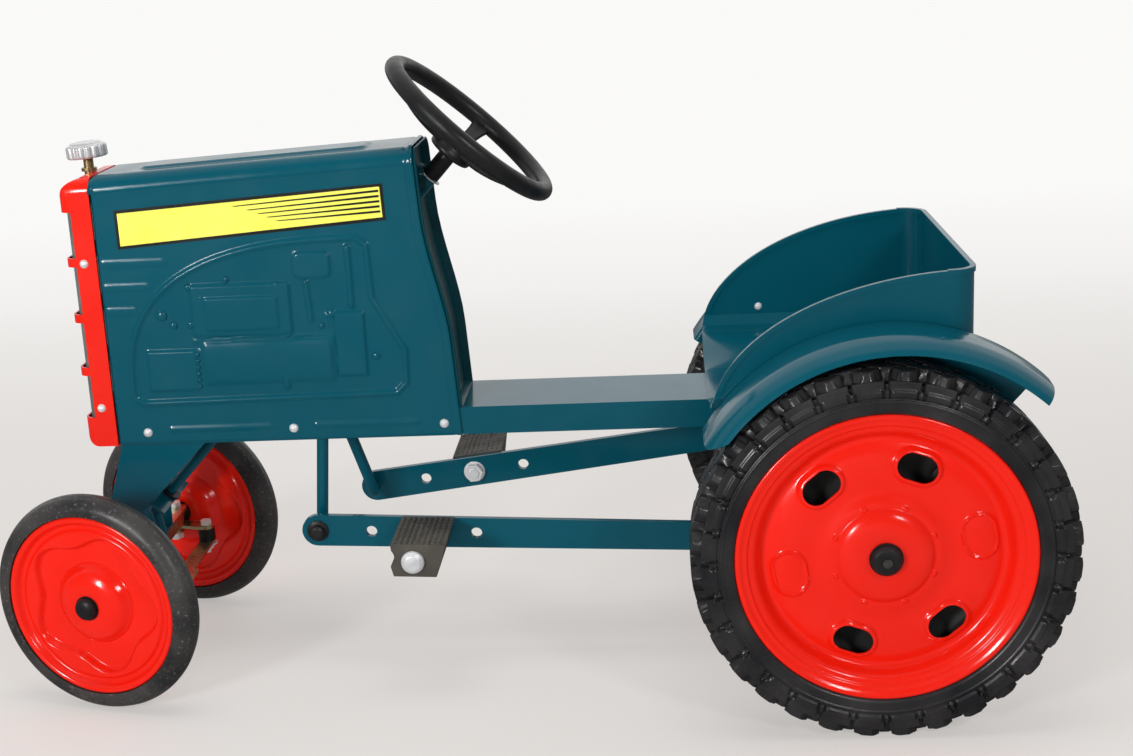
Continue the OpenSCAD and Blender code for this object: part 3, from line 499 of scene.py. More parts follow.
# %% [markdown]
# ## Rear tyres
# The rear tyre is moulded with four rows of six-sided blocks between zigzag grooves, each row half
# a block out of step with the next. The outer blocks end in a pointed ledge, and below it a ring of
# long and short lugs runs round the shoulder. The tyre is turned in many steps, and its skin is
# then pressed towards the core wherever a groove passes.

# %% Rear tyres
TREAD_BLOCKS = 32
BLOCK_PITCH = 2 * math.pi * 160 / TREAD_BLOCKS
LEDGE_R = 151.4
SHOULDER_TOP = 145.2
SHOULDER_FOOT = 137.4
GROOVE_WALL = 1.1
GROOVE_DEPTH = 4.6


def groove(distance, half):
    return 1 - smooth((abs(distance) - half) / GROOVE_WALL)


def zigzag(along):
    return max(-1.0, min(1.0, 1.7 * (abs((along % 1.0) * 2 - 1) * 2 - 1)))


def tread_groove(along, radius, width):
    row = 0
    depth = 0.0
    for number, line in enumerate((-14.0, 0.0, 14.0)):
        edge = line + 3.0 * zigzag(along + 0.5 * number)
        depth = max(depth, GROOVE_DEPTH * groove(width - edge, 1.0))
        if width > edge:
            row = number + 1
    across = ((along + 0.5 * (row % 2)) % 1.0 - 0.5) * BLOCK_PITCH
    if radius > SHOULDER_TOP:
        return max(depth, GROOVE_DEPTH * groove(across, 1.1)), row
    return 2.6 * groove(abs(across) - 3.1, 0.6), row


def press_tread(vert):
    radius = math.hypot(vert.co.x, vert.co.z)
    width = vert.co.y
    if radius < SHOULDER_FOOT:
        return
    along = math.atan2(vert.co.z, vert.co.x) * TREAD_BLOCKS / (2 * math.pi)
    depth, row = tread_groove(along, radius, width)
    ledge_line = 21.4 + 4.0 * zigzag(along + 0.5 * (row % 2))
    ledge = smooth(abs(width) - ledge_line + 0.5)
    new_radius = radius - ledge * max(0.0, radius - LEDGE_R)
    inward = Vector((134 - new_radius, math.copysign(min(abs(width), 10), width) - width)).normalized()
    new_radius += depth * inward.x
    vert.co.y += depth * inward.y
    vert.co.x *= new_radius / radius
    vert.co.z *= new_radius / radius


tyre_section = [
    (124.3, 27.2), (126.6, 29.0), (133.4, 28.8), (134.2, 29.6), (135.6, 29.6), (136.6, 28.0),
    (138.0, 28.0), (139.4, 29.5), (143.6, 29.5), (145.2, 27.8), (149.0, 27.4), (154.0, 26.8),
    (157.4, 25.8), (159.4, 24.0), (160, 21.0), (160, 0),
]
half_section = rounded_line(tyre_section, 1.6, 2)
tread_start = next(i for i, point in enumerate(half_section) if point.x > SHOULDER_FOOT)
half_section = half_section[:tread_start] + even_line(half_section[tread_start:], 1.3)
tyre_line = half_section + [Vector((point.x, -point.y)) for point in reversed(half_section[:-1])]
tyre_master = turned(tyre_line, 720, closed=True)
for vert in tyre_master.verts:
    press_tread(vert)
for side_name, side in SIDES.items():
    tyre = tyre_master.copy()
    put(tyre, wheel_place("rear", side))
    new_piece(tyre, "rear_tyre_" + side_name + "_tread", rear_rubber, "rear_tyre_" + side_name,
              ("rear_tyre_" + side_name,), crease=60)

# %% [markdown]
# ## Front tyres
# The front tyres are plain rings of hollow rubber. A fine row of radial ribs runs round the side
# near the rim, and two shallow lines run round the tread.

# %% Front tyres
RIBS = 120


def rib_height(angle, radius, width):
    band = smooth((radius - 88.5) / 1.5) * smooth((95.5 - radius) / 1.5) * smooth((abs(width) - 8) / 3)
    return 0.28 * band * math.sin(angle * RIBS)


front_arc = [math.radians(degrees) for degrees in range(-102, 103, 6)]
front_line = [Vector((88 + 14 * math.cos(a), 14 * math.sin(a))) for a in front_arc]
front_tyre_master = turned(front_line, 480, closed=True)
for vert in front_tyre_master.verts:
    radius = math.hypot(vert.co.x, vert.co.z)
    angle = math.atan2(vert.co.z, vert.co.x)
    vert.co.y += math.copysign(rib_height(angle, radius, vert.co.y), vert.co.y)
    line = max(groove(abs(vert.co.y) - 5.0, 0.3), 0.0) if radius > 99 else 0.0
    vert.co.x -= vert.co.x / radius * 0.5 * line
    vert.co.z -= vert.co.z / radius * 0.5 * line
for side_name, side in SIDES.items():
    tyre = front_tyre_master.copy()
    put(tyre, wheel_place("front", side))
    new_piece(tyre, "front_tyre_" + side_name + "_ring", front_rubber, "front_tyre_" + side_name,
              ("front_tyre_" + side_name,), crease=60)

# %% [markdown]
# ## Rear discs
# Each rear wheel is two pressed discs back to back. The press forms rings, a domed hub with eight
# small studs, and six ovals: four are pierced and two left blind. The disc is turned from one line,
# its ovals are raised by moving vertices, faces inside a pierced oval are deleted and the edge of
# the hole is drawn onto the true oval. The two halves are painted after they are joined, so their
# inner faces are left bare. Those faces are made near black, darker than bare steel: painted shade
# for the dark inside of the wheel.

# %% Rear discs
OVAL_R = 79
OVAL_ANGLES = [math.radians(49.5 + 60 * index) for index in range(6)]
BLIND_OVALS = (2, 5)
OVAL_SHAPES = {"hole": 11.5, "straight": 5.5}
SHEET = 1.3


def from_oval(x, z, index):
    angle = OVAL_ANGLES[index]
    outward = x * math.cos(angle) + z * math.sin(angle) - OVAL_R
    along = -x * math.sin(angle) + z * math.cos(angle)
    past = along - min(max(along, -OVAL_SHAPES["straight"]), OVAL_SHAPES["straight"])
    return math.hypot(outward, past), past, outward


def disc_relief(x, z):
    height = 0.0
    for index in range(6):
        distance = from_oval(x, z, index)[0]
        if index in BLIND_OVALS:
            ring = 2.2 * (1 - smooth(abs(distance - 13.4) / 2.3))
            height += ring + 0.9 * (1 - smooth((distance - 9.6) / 2.4))
        else:
            height += 2.7 * (1 - smooth((distance - 13.4) / 2.6))
    radius = math.hypot(x, z)
    stud = math.cos(8 * math.atan2(z, x) + math.pi) * 0.5 + 0.5
    return height + 1.7 * (1 - smooth((abs(radius - 43.6) - 0.6) / 1.8)) * smooth((stud - 0.92) / 0.07)


disc_points = [
    (124.2, 12), (124.2, 26.6), (121.0, 27.6), (117.4, 25.0), (114.0, 24.2), (112.8, 22.6),
    (108.6, 21.2), (106.0, 18.4), (103.2, 12.6), (100.6, 9.8), (97.6, 9.6), (93.6, 11.4),
    (88.6, 13.4), (82, 14.6),
    (74, 14.8), (66, 13.8), (59, 13.0), (53, 13.8), (47, 16.0), (44.0, 16.7), (41.4, 16.8),
    (40.0, 18.0), (37.4, 20.2), (34.4, 21.8), (31, 22.9), (27, 23.6), (22, 24.0), (10.2, 24.0),
]


def pierced_disc(steps, gap):
    bm = turned(even_line(rounded_line(disc_points, 2.6, 3), gap), steps)
    for vert in bm.verts:
        if math.hypot(vert.co.x, vert.co.z) < 110:
            vert.co.y += disc_relief(vert.co.x, vert.co.z)
    inside = []
    for face in bm.faces:
        middle = face.calc_center_median()
        for index in range(6):
            distance = from_oval(middle.x, middle.z, index)[0]
            if index not in BLIND_OVALS and distance < OVAL_SHAPES["hole"]:
                inside.append(face)
    bmesh.ops.delete(bm, geom=inside, context="FACES")
    for vert in bm.verts:
        if not vert.is_boundary:
            continue
        for index in range(6):
            distance, past, outward = from_oval(vert.co.x, vert.co.z, index)
            if index not in BLIND_OVALS and distance < OVAL_SHAPES["hole"] + 4:
                shift = OVAL_SHAPES["hole"] / distance - 1
                angle = OVAL_ANGLES[index]
                vert.co.x += shift * (outward * math.cos(angle) - past * math.sin(angle))
                vert.co.z += shift * (outward * math.sin(angle) + past * math.cos(angle))
    bmesh.ops.recalc_face_normals(bm, faces=bm.faces)
    bmesh.ops.solidify(bm, geom=bm.faces[:], thickness=SHEET)
    return bm


disc_master = pierced_disc(360, 1.32)
inner_master = pierced_disc(150, 3.0)
bmesh.ops.scale(inner_master, vec=(1, -1, 1), verts=inner_master.verts)
half_turn_of_an_oval = Matrix.Rotation(math.radians(30), 3, "Y")
bmesh.ops.rotate(inner_master, matrix=half_turn_of_an_oval, verts=inner_master.verts)
for side_name, side in SIDES.items():
    node_name = "rear_disc_" + side_name
    outer = disc_master.copy()
    put(outer, wheel_place("rear", side))
    # Inner faces take the near-black finish, a painted shade for the inside of the wheel.
    new_piece(outer, node_name + "_outer", red_enamel, node_name, (node_name,),
              inner_finish=bare_steel_and_shade, inner_way=-side)
    inner = inner_master.copy()
    put(inner, wheel_place("rear", side))
    new_piece(inner, node_name + "_inner", red_enamel, node_name,
              inner_finish=bare_steel_and_shade, inner_way=side)

# %% [markdown]
# ## Front discs
# The front disc has a rolled rim, a ring groove, and a dish with five lobes between the rim and the
# stepped hub. The lobes' edge is a radius that swings five times round the wheel, and the sheet
# drops from the land to the dish where that edge passes.

# %% Front discs
LAND = 9.8
DISH = 3.2
HUB_R = 38.5


def lobed_drop(x, z):
    radius = math.hypot(x, z)
    edge = 60 + 6 * math.cos(5 * (math.atan2(z, x) - math.radians(40)))
    return (DISH - LAND) * smooth((edge - radius) / 5.0 + 0.5)


front_points = [
    (84.6, 0), (84.6, 12.2), (82, 13.6), (79.4, 12.6), (76, 6.9), (72.5, 6.3), (69.6, LAND),
    (66, LAND), (42, LAND), (HUB_R, LAND + 0.4),
]
hub_points = [(HUB_R, DISH + 0.4), (36, 5.8), (31.4, 11.6), (25, 15.0), (19.5, 16.4), (9.3, 16.6)]


def lobed_disc(steps, gap):
    land_line = even_line(rounded_line(front_points, 2.0, 3), gap)
    hub_line = even_line(rounded_line(hub_points, 2.2, 3), gap)
    bm = turned(land_line[:-1] + [Vector((HUB_R, LAND))] + hub_line[1:], steps)
    for vert in bm.verts:
        if 38.2 < math.hypot(vert.co.x, vert.co.z) < 69:
            vert.co.y += lobed_drop(vert.co.x, vert.co.z)
    bmesh.ops.recalc_face_normals(bm, faces=bm.faces)
    bmesh.ops.solidify(bm, geom=bm.faces[:], thickness=SHEET)
    return bm


front_disc_master = lobed_disc(300, 1.2)
front_inner_master = lobed_disc(150, 2.4)
bmesh.ops.scale(front_inner_master, vec=(1, -1, 1), verts=front_inner_master.verts)
for side_name, side in SIDES.items():
    node_name = "front_disc_" + side_name
    outer = front_disc_master.copy()
    put(outer, wheel_place("front", side))
    new_piece(outer, node_name + "_outer", red_enamel, node_name, (node_name,))
    inner = front_inner_master.copy()
    put(inner, wheel_place("front", side))
    new_piece(inner, node_name + "_inner", red_enamel, node_name)

# %% [markdown]
# ## The pressed picture of an engine
# The side of the hood carries an engine drawn in relief: a bead round it, a stepped block, a round
# cylinder, a ribbed box, pipes and bolt heads. A press makes such relief in one stroke, and every
# wall of it slopes a little so that the sheet doesn't tear. A list of forms with a height each, laid
# over one another so that the highest wins, says the same thing to a grid of vertices.

# %% Relief of the hood's side
HOOD_BOTTOM = 224
HOOD_FRONT = 686
HOOD_SIDE = 48
HOOD_CORNER = 14
BODY_SHEET = 1.4


def hood_rear(z):
    return 364 + 0.06 * (z - 224) + 13.5 * smooth((z - 310) / 120)


def hood_top(x):
    return 475 + (HOOD_FRONT - x) * 0.05187


def along_segment(x, z, start, end):
    run = (end[0] - start[0], end[1] - start[1])
    length = max(run[0] ** 2 + run[1] ** 2, 0.0001)
    t = ((x - start[0]) * run[0] + (z - start[1]) * run[1]) / length
    t = min(max(t, 0.0), 1.0)
    return math.hypot(x - start[0] - t * run[0], z - start[1] - t * run[1])


def inside_plate(x, z, low, high, corner):
    across = abs(x - (low[0] + high[0]) / 2) - (high[0] - low[0]) / 2 + corner
    upward = abs(z - (low[1] + high[1]) / 2) - (high[1] - low[1]) / 2 + corner
    outside = math.hypot(max(across, 0), max(upward, 0)) + min(max(across, upward), 0)
    return corner - outside


# Raised plates: height, lower corner, upper corner, round of the corners
PLATES = [
    (2.6, (511, 324), (605, 375), 4), (4.2, (522, 329), (593, 364), 3), (2.4, (472, 375), (509, 402), 8),
    (2.1, (602, 274), (651, 315), 3), (2.6, (445, 283), (475, 346), 3), (1.7, (474, 282), (600, 321), 3),
    (1.3, (474, 321), (605, 326), 2),
]
# Raised lines: height, half width, start, end
LINES = [
    (2.4, 2.2, (457, 403), (457, 350)), (2.2, 2.0, (497, 373), (495, 338)),
    (0.65, 2.8, (680, 352), (656, 352)), (0.65, 2.8, (680, 374), (642, 374)),
    (0.65, 2.8, (680, 396), (626, 396)), (1.1, 2.0, (634, 238.5), (541, 238.5)),
    (1.1, 2.0, (498, 238.5), (405, 238.5)), (2.4, 2.2, (588.4, 300), (588.4, 283)),
    (2.6, 2.2, (521.8, 302), (521.8, 276)), (1.2, 1.2, (632, 312), (600, 312)),
    (2.2, 1.8, (452, 334), (452, 290)), (1.2, 1.4, (604, 322), (570, 322)),
    (2.4, 2.6, (494, 304), (490, 299)), (1.3, 1.4, (472, 330), (480, 342)),
]
# Bolt heads: height, radius, middle
HEADS = [
    (3.6, 4.2, (632, 346.6)), (3.0, 3.2, (621.8, 337)), (2.6, 3.0, (606, 337)), (2.4, 3.0, (596.5, 325)),
    (2.6, 3.0, (517, 325)), (2.4, 3.0, (500, 317)), (3.0, 3.4, (476, 343)), (2.8, 3.0, (471, 325)),
    (2.2, 2.4, (486, 332)), (2.8, 3.2, (438, 302)), (3.2, 2.6, (570, 378)), (2.0, 2.4, (570, 372)),
    (3.0, 2.6, (645, 302)), (2.6, 2.6, (634, 304)), (4.0, 3.0, (594, 362)), (3.6, 2.6, (524, 372)),
    (2.8, 2.6, (469, 336)), (3.4, 3.0, (605, 372)),
]
HEADS += [(2.6, 1.9, (column, 279 + 6 * row)) for column in (632, 603) for row in range(6)]
ARCH = [(449 + 217 * math.cos(math.radians(t)) ** 0.77, 276 + 136 * math.sin(math.radians(t)) ** 0.77)
        for t in range(0, 91, 5)]
BEAD = ARCH + [(440, 405), (438, 356), (411, 307), (412, 276), (421, 267), (655, 264), (664, 268)]
BEAD_RUNS = list(zip(BEAD, BEAD[1:] + BEAD[:1]))


def hood_relief(x, z):
    height = 0.0
    if 400 < x < 676 and 255 < z < 422:
        distance = min(along_segment(x, z, start, end) for start, end in BEAD_RUNS)
        height = 2.3 * (1 - smooth((distance - 0.8) / 2.8))
    for rise, low, high, corner in PLATES:
        height = max(height, rise * smooth(inside_plate(x, z, low, high, corner) / 3.2))
    for rise, half, start, end in LINES:
        if min(start[0], end[0]) - 6 < x < max(start[0], end[0]) + 6:
            distance = along_segment(x, z, start, end)
            height = max(height, rise * (1 - smooth((distance - half + 1.2) / 2.8)))
    if 476 < x < 598 and 280 < z < 322:
        ends = smooth((598 - x) / 4) * smooth((x - 476) / 4)
        height = max(height, 1.0 + 2.6 * ends * math.sqrt(max(0.0, 1 - ((z - 301) / 19.5) ** 2)))
    return height


print("relief forms", len(PLATES) + len(LINES) + len(HEADS), "bead runs", len(BEAD_RUNS))

# %% [markdown]
# ## Hood
# One sheet is folded over both sides, with a rounded fold along each top edge and a fine crease
# below it. A sheet this size needs many small faces to hold the relief, so it is built as three
# pieces that meet under the crease: a grid for each side and a grid that wraps over the top. A bead
# and a fine valley run along the rear edge, as beside a hem, and the front edge turns in behind the
# grille shell, which leaves a dark gap between the two colours.

# %% Hood
CREASE_DROP = 15.0


def hem(distance):
    bead = 1.1 * (1 - smooth((abs(distance - 2.4) - 0.6) / 2.0))
    return bead - 0.6 * (1 - smooth((abs(distance - 6.0) - 0.4) / 1.6))


def front_gap(x):
    return -3.0 * (1 - smooth((HOOD_FRONT - x - 0.8) / 1.6))


def hood_side_grid():
    bm = bmesh.new()
    bmesh.ops.create_grid(bm, x_segments=250, y_segments=180, size=0.5)
    for vert in bm.verts:
        u = vert.co.x + 0.5
        v = vert.co.y + 0.5
        x = 520.0
        for _ in range(4):
            z = HOOD_BOTTOM + v * (hood_top(x) - CREASE_DROP - HOOD_BOTTOM)
            x = hood_rear(z) + u * (HOOD_FRONT - hood_rear(z))
        fold = -1.6 * (1 - smooth((z - HOOD_BOTTOM) / 2.5))
        y = HOOD_SIDE + hood_relief(x, z) + hem(x - hood_rear(z)) + front_gap(x) + fold
        vert.co = (x, y, z)
    return bm


def add_thickness(bm, sheet):
    bmesh.ops.recalc_face_normals(bm, faces=bm.faces)
    bmesh.ops.solidify(bm, geom=bm.faces[:], thickness=sheet)


def section_point(v):
    half = HOOD_SIDE - HOOD_CORNER
    fold = HOOD_CORNER * math.pi / 2
    tail = CREASE_DROP - HOOD_CORNER
    travel = abs(v) * (half + fold + tail)
    if travel < half:
        return math.copysign(travel, v), 0.0, 0.0
    if travel < half + fold:
        angle = (travel - half) / HOOD_CORNER
        return (math.copysign(half + HOOD_CORNER * math.sin(angle), v),
                HOOD_CORNER * (math.cos(angle) - 1), math.sin(angle))
    return math.copysign(HOOD_SIDE, v), -HOOD_CORNER - (travel - half - fold), 1.0


def top_relief(x, y):
    return 2.2 * smooth(inside_plate(x, y, (436, -23), (648, 23), 10) / 5.0)


def hood_top_grid():
    bm = bmesh.new()
    bmesh.ops.create_grid(bm, x_segments=190, y_segments=110, size=0.5)
    for vert in bm.verts:
        y, drop, sideways = section_point(vert.co.y * 2)
        x = 520.0
        for _ in range(4):
            z = hood_top(x) + drop
            x = hood_rear(z) + (vert.co.x + 0.5) * (HOOD_FRONT - hood_rear(z))
        bead = 0.7 * (1 - smooth(abs(drop + HOOD_CORNER + 0.2) / 1.1))
        lift = hem(x - hood_rear(z)) + front_gap(x)
        if drop == 0.0:
            lift += top_relief(x, y)
        y += math.copysign(sideways * lift + bead, y) if sideways else 0.0
        vert.co = (x, y, z + (1 - sideways) * lift)
    return bm


def bolt_head(bm, rise, radius, middle):
    made = bmesh.ops.create_uvsphere(bm, u_segments=20, v_segments=12, radius=1)["verts"]
    bmesh.ops.scale(bm, vec=(radius * 1.25, rise * 0.8, radius * 1.25), verts=made)
    bmesh.ops.translate(bm, vec=(middle[0], HOOD_SIDE - 0.2, middle[1]), verts=made)


side_master = hood_side_grid()
add_thickness(side_master, BODY_SHEET)
for side_name, side in SIDES.items():
    panel = side_master.copy()
    put(panel, Matrix.Diagonal((1, side, 1, 1)))
    new_piece(panel, "hood_" + side_name + "_side", teal_enamel, "hood", ("hood",), crease=50)
    heads = bmesh.new()
    for head in HEADS:
        bolt_head(heads, *head)
    put(heads, Matrix.Diagonal((1, side, 1, 1)))
    new_piece(heads, "hood_" + side_name + "_heads", teal_enamel, "hood")
top_sheet = hood_top_grid()
add_thickness(top_sheet, BODY_SHEET)
put(top_sheet, Matrix.Identity(4))
new_piece(top_sheet, "hood_top", teal_enamel, "hood", ("hood",), crease=50)

# %% [markdown]
# ## Yellow band
# A printed band runs along each side of the hood, with a black edge and five tapering black lines at
# its rear end. Print is thin, so each colour is a sheet a tenth of a millimetre thick laid over the
# last. The band carries no word.

# %% Yellow band
BAND = [(662.6, 441.7), (423.7, 456.8), (422.6, 429.4), (662.4, 411.9)]
SPEED_LINES = [
    ((558.2, 444.5), (424.6, 453.1)), ((545.6, 440.7), (424.6, 448.4)), ((536.2, 437.1), (424.4, 443.8)),
    ((528.0, 433.6), (424.4, 439.2)), ((519.7, 430.0), (424.2, 434.6)),
]
LINE_HALF = 1.05


def grown(corners, margin):
    middle = [sum(point[axis] for point in corners) / len(corners) for axis in (0, 1)]
    return [tuple(value + math.copysign(margin, value - centre) for value, centre in zip(point, middle))
            for point in corners]


def printed(corners, side, level, name, finish):
    bm = bmesh.new()
    verts = [bm.verts.new((x, side * (HOOD_SIDE + 0.02), z)) for x, z in corners]
    face = bm.faces.new(verts)
    grown_face = bmesh.ops.extrude_face_region(bm, geom=[face])["geom"]
    moved = [item for item in grown_face if isinstance(item, bmesh.types.BMVert)]
    bmesh.ops.translate(bm, vec=(0, side * level, 0), verts=moved)
    put(bm, Matrix.Identity(4))
    return new_piece(bm, name, finish, "hood", crease=20)


for side_name, side in SIDES.items():
    printed(grown(BAND, 2.8), side, 0.30, "band_edge_" + side_name, black_print)
    printed(BAND, side, 0.42, "band_" + side_name, yellow_print)
    for number, (thin_end, wide_end) in enumerate(SPEED_LINES):
        strip = [(thin_end[0], thin_end[1]), (wide_end[0], wide_end[1] + LINE_HALF),
                 (wide_end[0], wide_end[1] - LINE_HALF), (thin_end[0] - 4, thin_end[1] - 0.6)]
        printed(strip, side, 0.54, "band_line_%s_%d" % (side_name, number), black_print)

# %% [markdown]
# ## Fenders
# A fender is a curved sheet with a crowned top, a rolled outer edge and rounded corners in plan. It
# is turned about a point near the axle through a hundred degrees; the rounded corners come from
# giving each line of vertices its own start and end angle.

# %% Fenders
FENDER_CENTRE = (-12, 158)
FENDER_TIPS = (146, -161)
FENDER_CORNER = 24
FENDER_LINE = [
    (151, 156.4), (183.6, 156.4), (186.2, 158.6), (187, 182), (186, 204), (183, 215), (178.4, 222.6),
    (173.8, 225.6),
]


def fender_ends(radius, width):
    past = max(width - 202, 0)
    inset = FENDER_CORNER - math.sqrt(max(FENDER_CORNER ** 2 - past ** 2, 0))
    ahead, behind = (tip - FENDER_CENTRE[0] for tip in FENDER_TIPS)
    front = max(math.radians(32), math.acos(min((ahead - inset) / radius, 1)))
    rear = min(math.radians(132), math.acos(max((behind + inset) / radius, -1)))
    return front, rear


FENDER_STEPS = 110
for side_name, side in SIDES.items():
    bm = turned(even_line(rounded_line(FENDER_LINE, 3.5, 4), 2.4), FENDER_STEPS, sweep=math.radians(100))
    for vert in bm.verts:
        radius = math.hypot(vert.co.x, vert.co.z)
        share = math.atan2(vert.co.z, vert.co.x) / math.radians(100)
        front, rear = fender_ends(radius, vert.co.y)
        angle = front + share * (rear - front)
        vert.co.x = FENDER_CENTRE[0] + radius * math.cos(angle)
        vert.co.z = FENDER_CENTRE[1] + radius * math.sin(angle)
    bmesh.ops.recalc_face_normals(bm, faces=bm.faces)
    bmesh.ops.solidify(bm, geom=bm.faces[:], thickness=BODY_SHEET)
    put(bm, Matrix.Diagonal((1, side, 1, 1)))
    node_name = "fender_" + side_name
    new_piece(bm, node_name + "_sheet", teal_enamel, node_name, (node_name,), crease=50)

# %% [markdown]
# ## Steering wheel
# The steering wheel is one black moulding: a round rim, a dished hub with a raised boss, and three
# spokes that leave the hub flat and curve up into the rim. The spokes are lofted by drawing one
# rounded section along their curve.

# %% Steering wheel
COLUMN_TILT = math.radians(42.8)
COLUMN_TURN = math.radians(9.9)
COLUMN = (Matrix.Translation((345, 0, 499.5)) @ Matrix.Rotation(-COLUMN_TILT, 4, "Y")
          @ Matrix.Rotation(-COLUMN_TURN, 4, "Z"))
RIM_R = 86.5
RIM_TUBE = 8.5
SPOKE_FOOT = -22.4
SPOKE_RISE = 20.5
SPOKE_CURVE = 2.2
SPOKE_CORNERS = 20


def spoke(turn_angle):
    bm = bmesh.new()
    rings = []
    for step in range(25):
        t = step / 24
        reach = 8 + t * (RIM_R - 10)
        height = SPOKE_FOOT + SPOKE_RISE * t ** SPOKE_CURVE
        slope = math.atan2(SPOKE_RISE * SPOKE_CURVE * t ** 1.2, RIM_R - 10)
        half_width = 8.6 - 2.2 * math.sin(math.pi * min(t * 1.1, 1)) + 1.4 * smooth((t - 0.8) / 0.2)
        half_depth = 3.1 - 0.5 * t
        ring = []
        for corner in range(SPOKE_CORNERS):
            angle = 2 * math.pi * corner / SPOKE_CORNERS
            across = half_width * math.copysign(abs(math.cos(angle)) ** 0.55, math.cos(angle))
            depth = half_depth * math.copysign(abs(math.sin(angle)) ** 0.7, math.sin(angle))
            if depth > 0 and abs(across) < half_width * 0.62:
                depth -= 1.1 * (1 - (across / (half_width * 0.62)) ** 2)
            place = (reach - depth * math.sin(slope), across, height + depth * math.cos(slope))
            ring.append(bm.verts.new(place))
        rings.append([bm.edges.new(pair) for pair in zip(ring, ring[1:] + ring[:1])])
    for first, second in zip(rings, rings[1:]):
        bmesh.ops.bridge_loops(bm, edges=first + second)
    bmesh.ops.contextual_create(bm, geom=rings[0])
    bmesh.ops.contextual_create(bm, geom=rings[-1])
    turn = Matrix.Rotation(turn_angle, 3, "Z")
    bmesh.ops.rotate(bm, cent=(0, 0, 0), matrix=turn, verts=bm.verts)
    return bm


UPRIGHT = Matrix.Rotation(math.radians(90), 3, "X")


def upright(line, steps, closed=False):
    bm = turned(line, steps, closed)
    bmesh.ops.rotate(bm, cent=(0, 0, 0), matrix=UPRIGHT, verts=bm.verts)
    return bm


rim_angles = [math.radians(degrees) for degrees in range(0, 360, 10)]
rim_circle = [Vector((RIM_R + RIM_TUBE * math.cos(a), RIM_TUBE * math.sin(a))) for a in rim_angles]
rim = upright(rim_circle, 144, closed=True)
put(rim, COLUMN)
new_piece(rim, "steering_rim", black_plastic, "steering_wheel", ("steering_wheel",))
hub_outline = rounded_line(
    [(0, -32), (15, -32), (20.5, -30.5), (21.5, -27.5), (20, -24), (18, -21), (18, -13.5), (14.4, -11),
     (9, -9.2), (0, -8.8)], 1.6, 3,
)
hub = upright(hub_outline, 72)
put(hub, COLUMN)
new_piece(hub, "steering_hub", black_plastic, "steering_wheel")
for number, degrees in enumerate((35, 155, 275)):
    arm = spoke(math.radians(degrees))
    put(arm, COLUMN)
    new_piece(arm, "steering_spoke_%d" % number, black_plastic, "steering_wheel")

# %% [markdown]
# ## Radiator cap
# The cap is a silvered knob with sixteen scallops round its edge and a low boss on top. It is turned
# like the steering hub, and its edge is then pulled in wherever a scallop passes. It leans forward a
# little with the slope of the hood.

# %% Radiator cap
CAP_X = 699
CAP_FOOT = 487.5
CAP_PLACE = Matrix.Translation((CAP_X, 0, CAP_FOOT)) @ Matrix.Rotation(math.radians(4), 4, "Y")
SCALLOPS = 16
cap_line = rounded_line(
    [(0, 0), (17.4, 0), (18.5, 1.4), (18.5, 10.4), (16.9, 12), (14.6, 12), (13.6, 13.9), (11.6, 14.5),
     (0, 14.3)], 0.9, 3,
)
cap = turned(cap_line, 192)
for vert in cap.verts:
    radius = math.hypot(vert.co.x, vert.co.z)
    scallop = 0.5 - 0.5 * math.cos(SCALLOPS * math.atan2(vert.co.z, vert.co.x))
    pull = 1 - 1.5 / 18.5 * scallop ** 2 * smooth((radius - 15.0) / 2)
    vert.co.x *= pull
    vert.co.z *= pull
bmesh.ops.rotate(cap, cent=(0, 0, 0), matrix=UPRIGHT, verts=cap.verts)
put(cap, CAP_PLACE)
new_piece(cap, "radiator_cap_knob", silver_plastic, "radiator_cap", ("radiator_cap",), crease=60)

# %% [markdown]
# ## Pedals
# A pedal is a rubber block on a bolt, with a waist in its front and a tread of small squares above
# and below. Its outline is drawn once with close points along the top and bottom, stretched along
# the bolt in many steps, and the squares are cut by sinking every vertex that lies in a groove.

# %% Pedals
PEDAL_Y = (61, 136)
PEDAL_STEPS = 94
BAR_REACH = 486.5 - 99
BARS = {"left": ((17.232, 117.350), 2.592), "right": ((-17.232, 202.650), -6.978)}


def pedal_outline():
    waist = [(27 + 10.5 * math.cos(math.radians(a)), 3 + 10.5 * math.sin(math.radians(a)))
             for a in range(228, 137, -10)]
    top = even_line([(19.4, 16), (-28.4, 16)], 0.8)
    low = even_line([(-20.4, -14), (16.9, -14)], 0.8)
    front = [Vector((17.5, -13.3))] + [Vector(point) for point in waist] + [Vector((20, 15.3))]
    return top + [Vector((-29, 15.3)), Vector((-21.2, -13.3))] + low + front


def square_groove(x, y):
    along = groove((x + 2) % 5.0 - 2.5, 0.35)
    beside = groove((y - PEDAL_Y[0] - 6) % 7.5 - 3.75, 0.6)
    return max(along, beside)


def pedal_block():
    bm = bmesh.new()
    ring = [bm.verts.new((point.x, PEDAL_Y[0], point.y)) for point in pedal_outline()]
    edges = [bm.edges.new((first, second)) for first, second in zip(ring, ring[1:] + ring[:1])]
    bmesh.ops.contextual_create(bm, geom=edges)
    for _ in range(PEDAL_STEPS):
        made = bmesh.ops.extrude_edge_only(bm, edges=edges)["geom"]
        moved = [item for item in made if isinstance(item, bmesh.types.BMVert)]
        edges = [item for item in made if isinstance(item, bmesh.types.BMEdge)]
        bmesh.ops.translate(bm, vec=(0, (PEDAL_Y[1] - PEDAL_Y[0]) / PEDAL_STEPS, 0), verts=moved)
    bmesh.ops.contextual_create(bm, geom=edges)
    for vert in bm.verts:
        x, y, z = vert.co
        if PEDAL_Y[0] + 2 < y < PEDAL_Y[1] - 2 and (z > 15.9 or z < -13.9):
            vert.co.z -= math.copysign(1.5 * square_groove(x, y), z)
    return bm


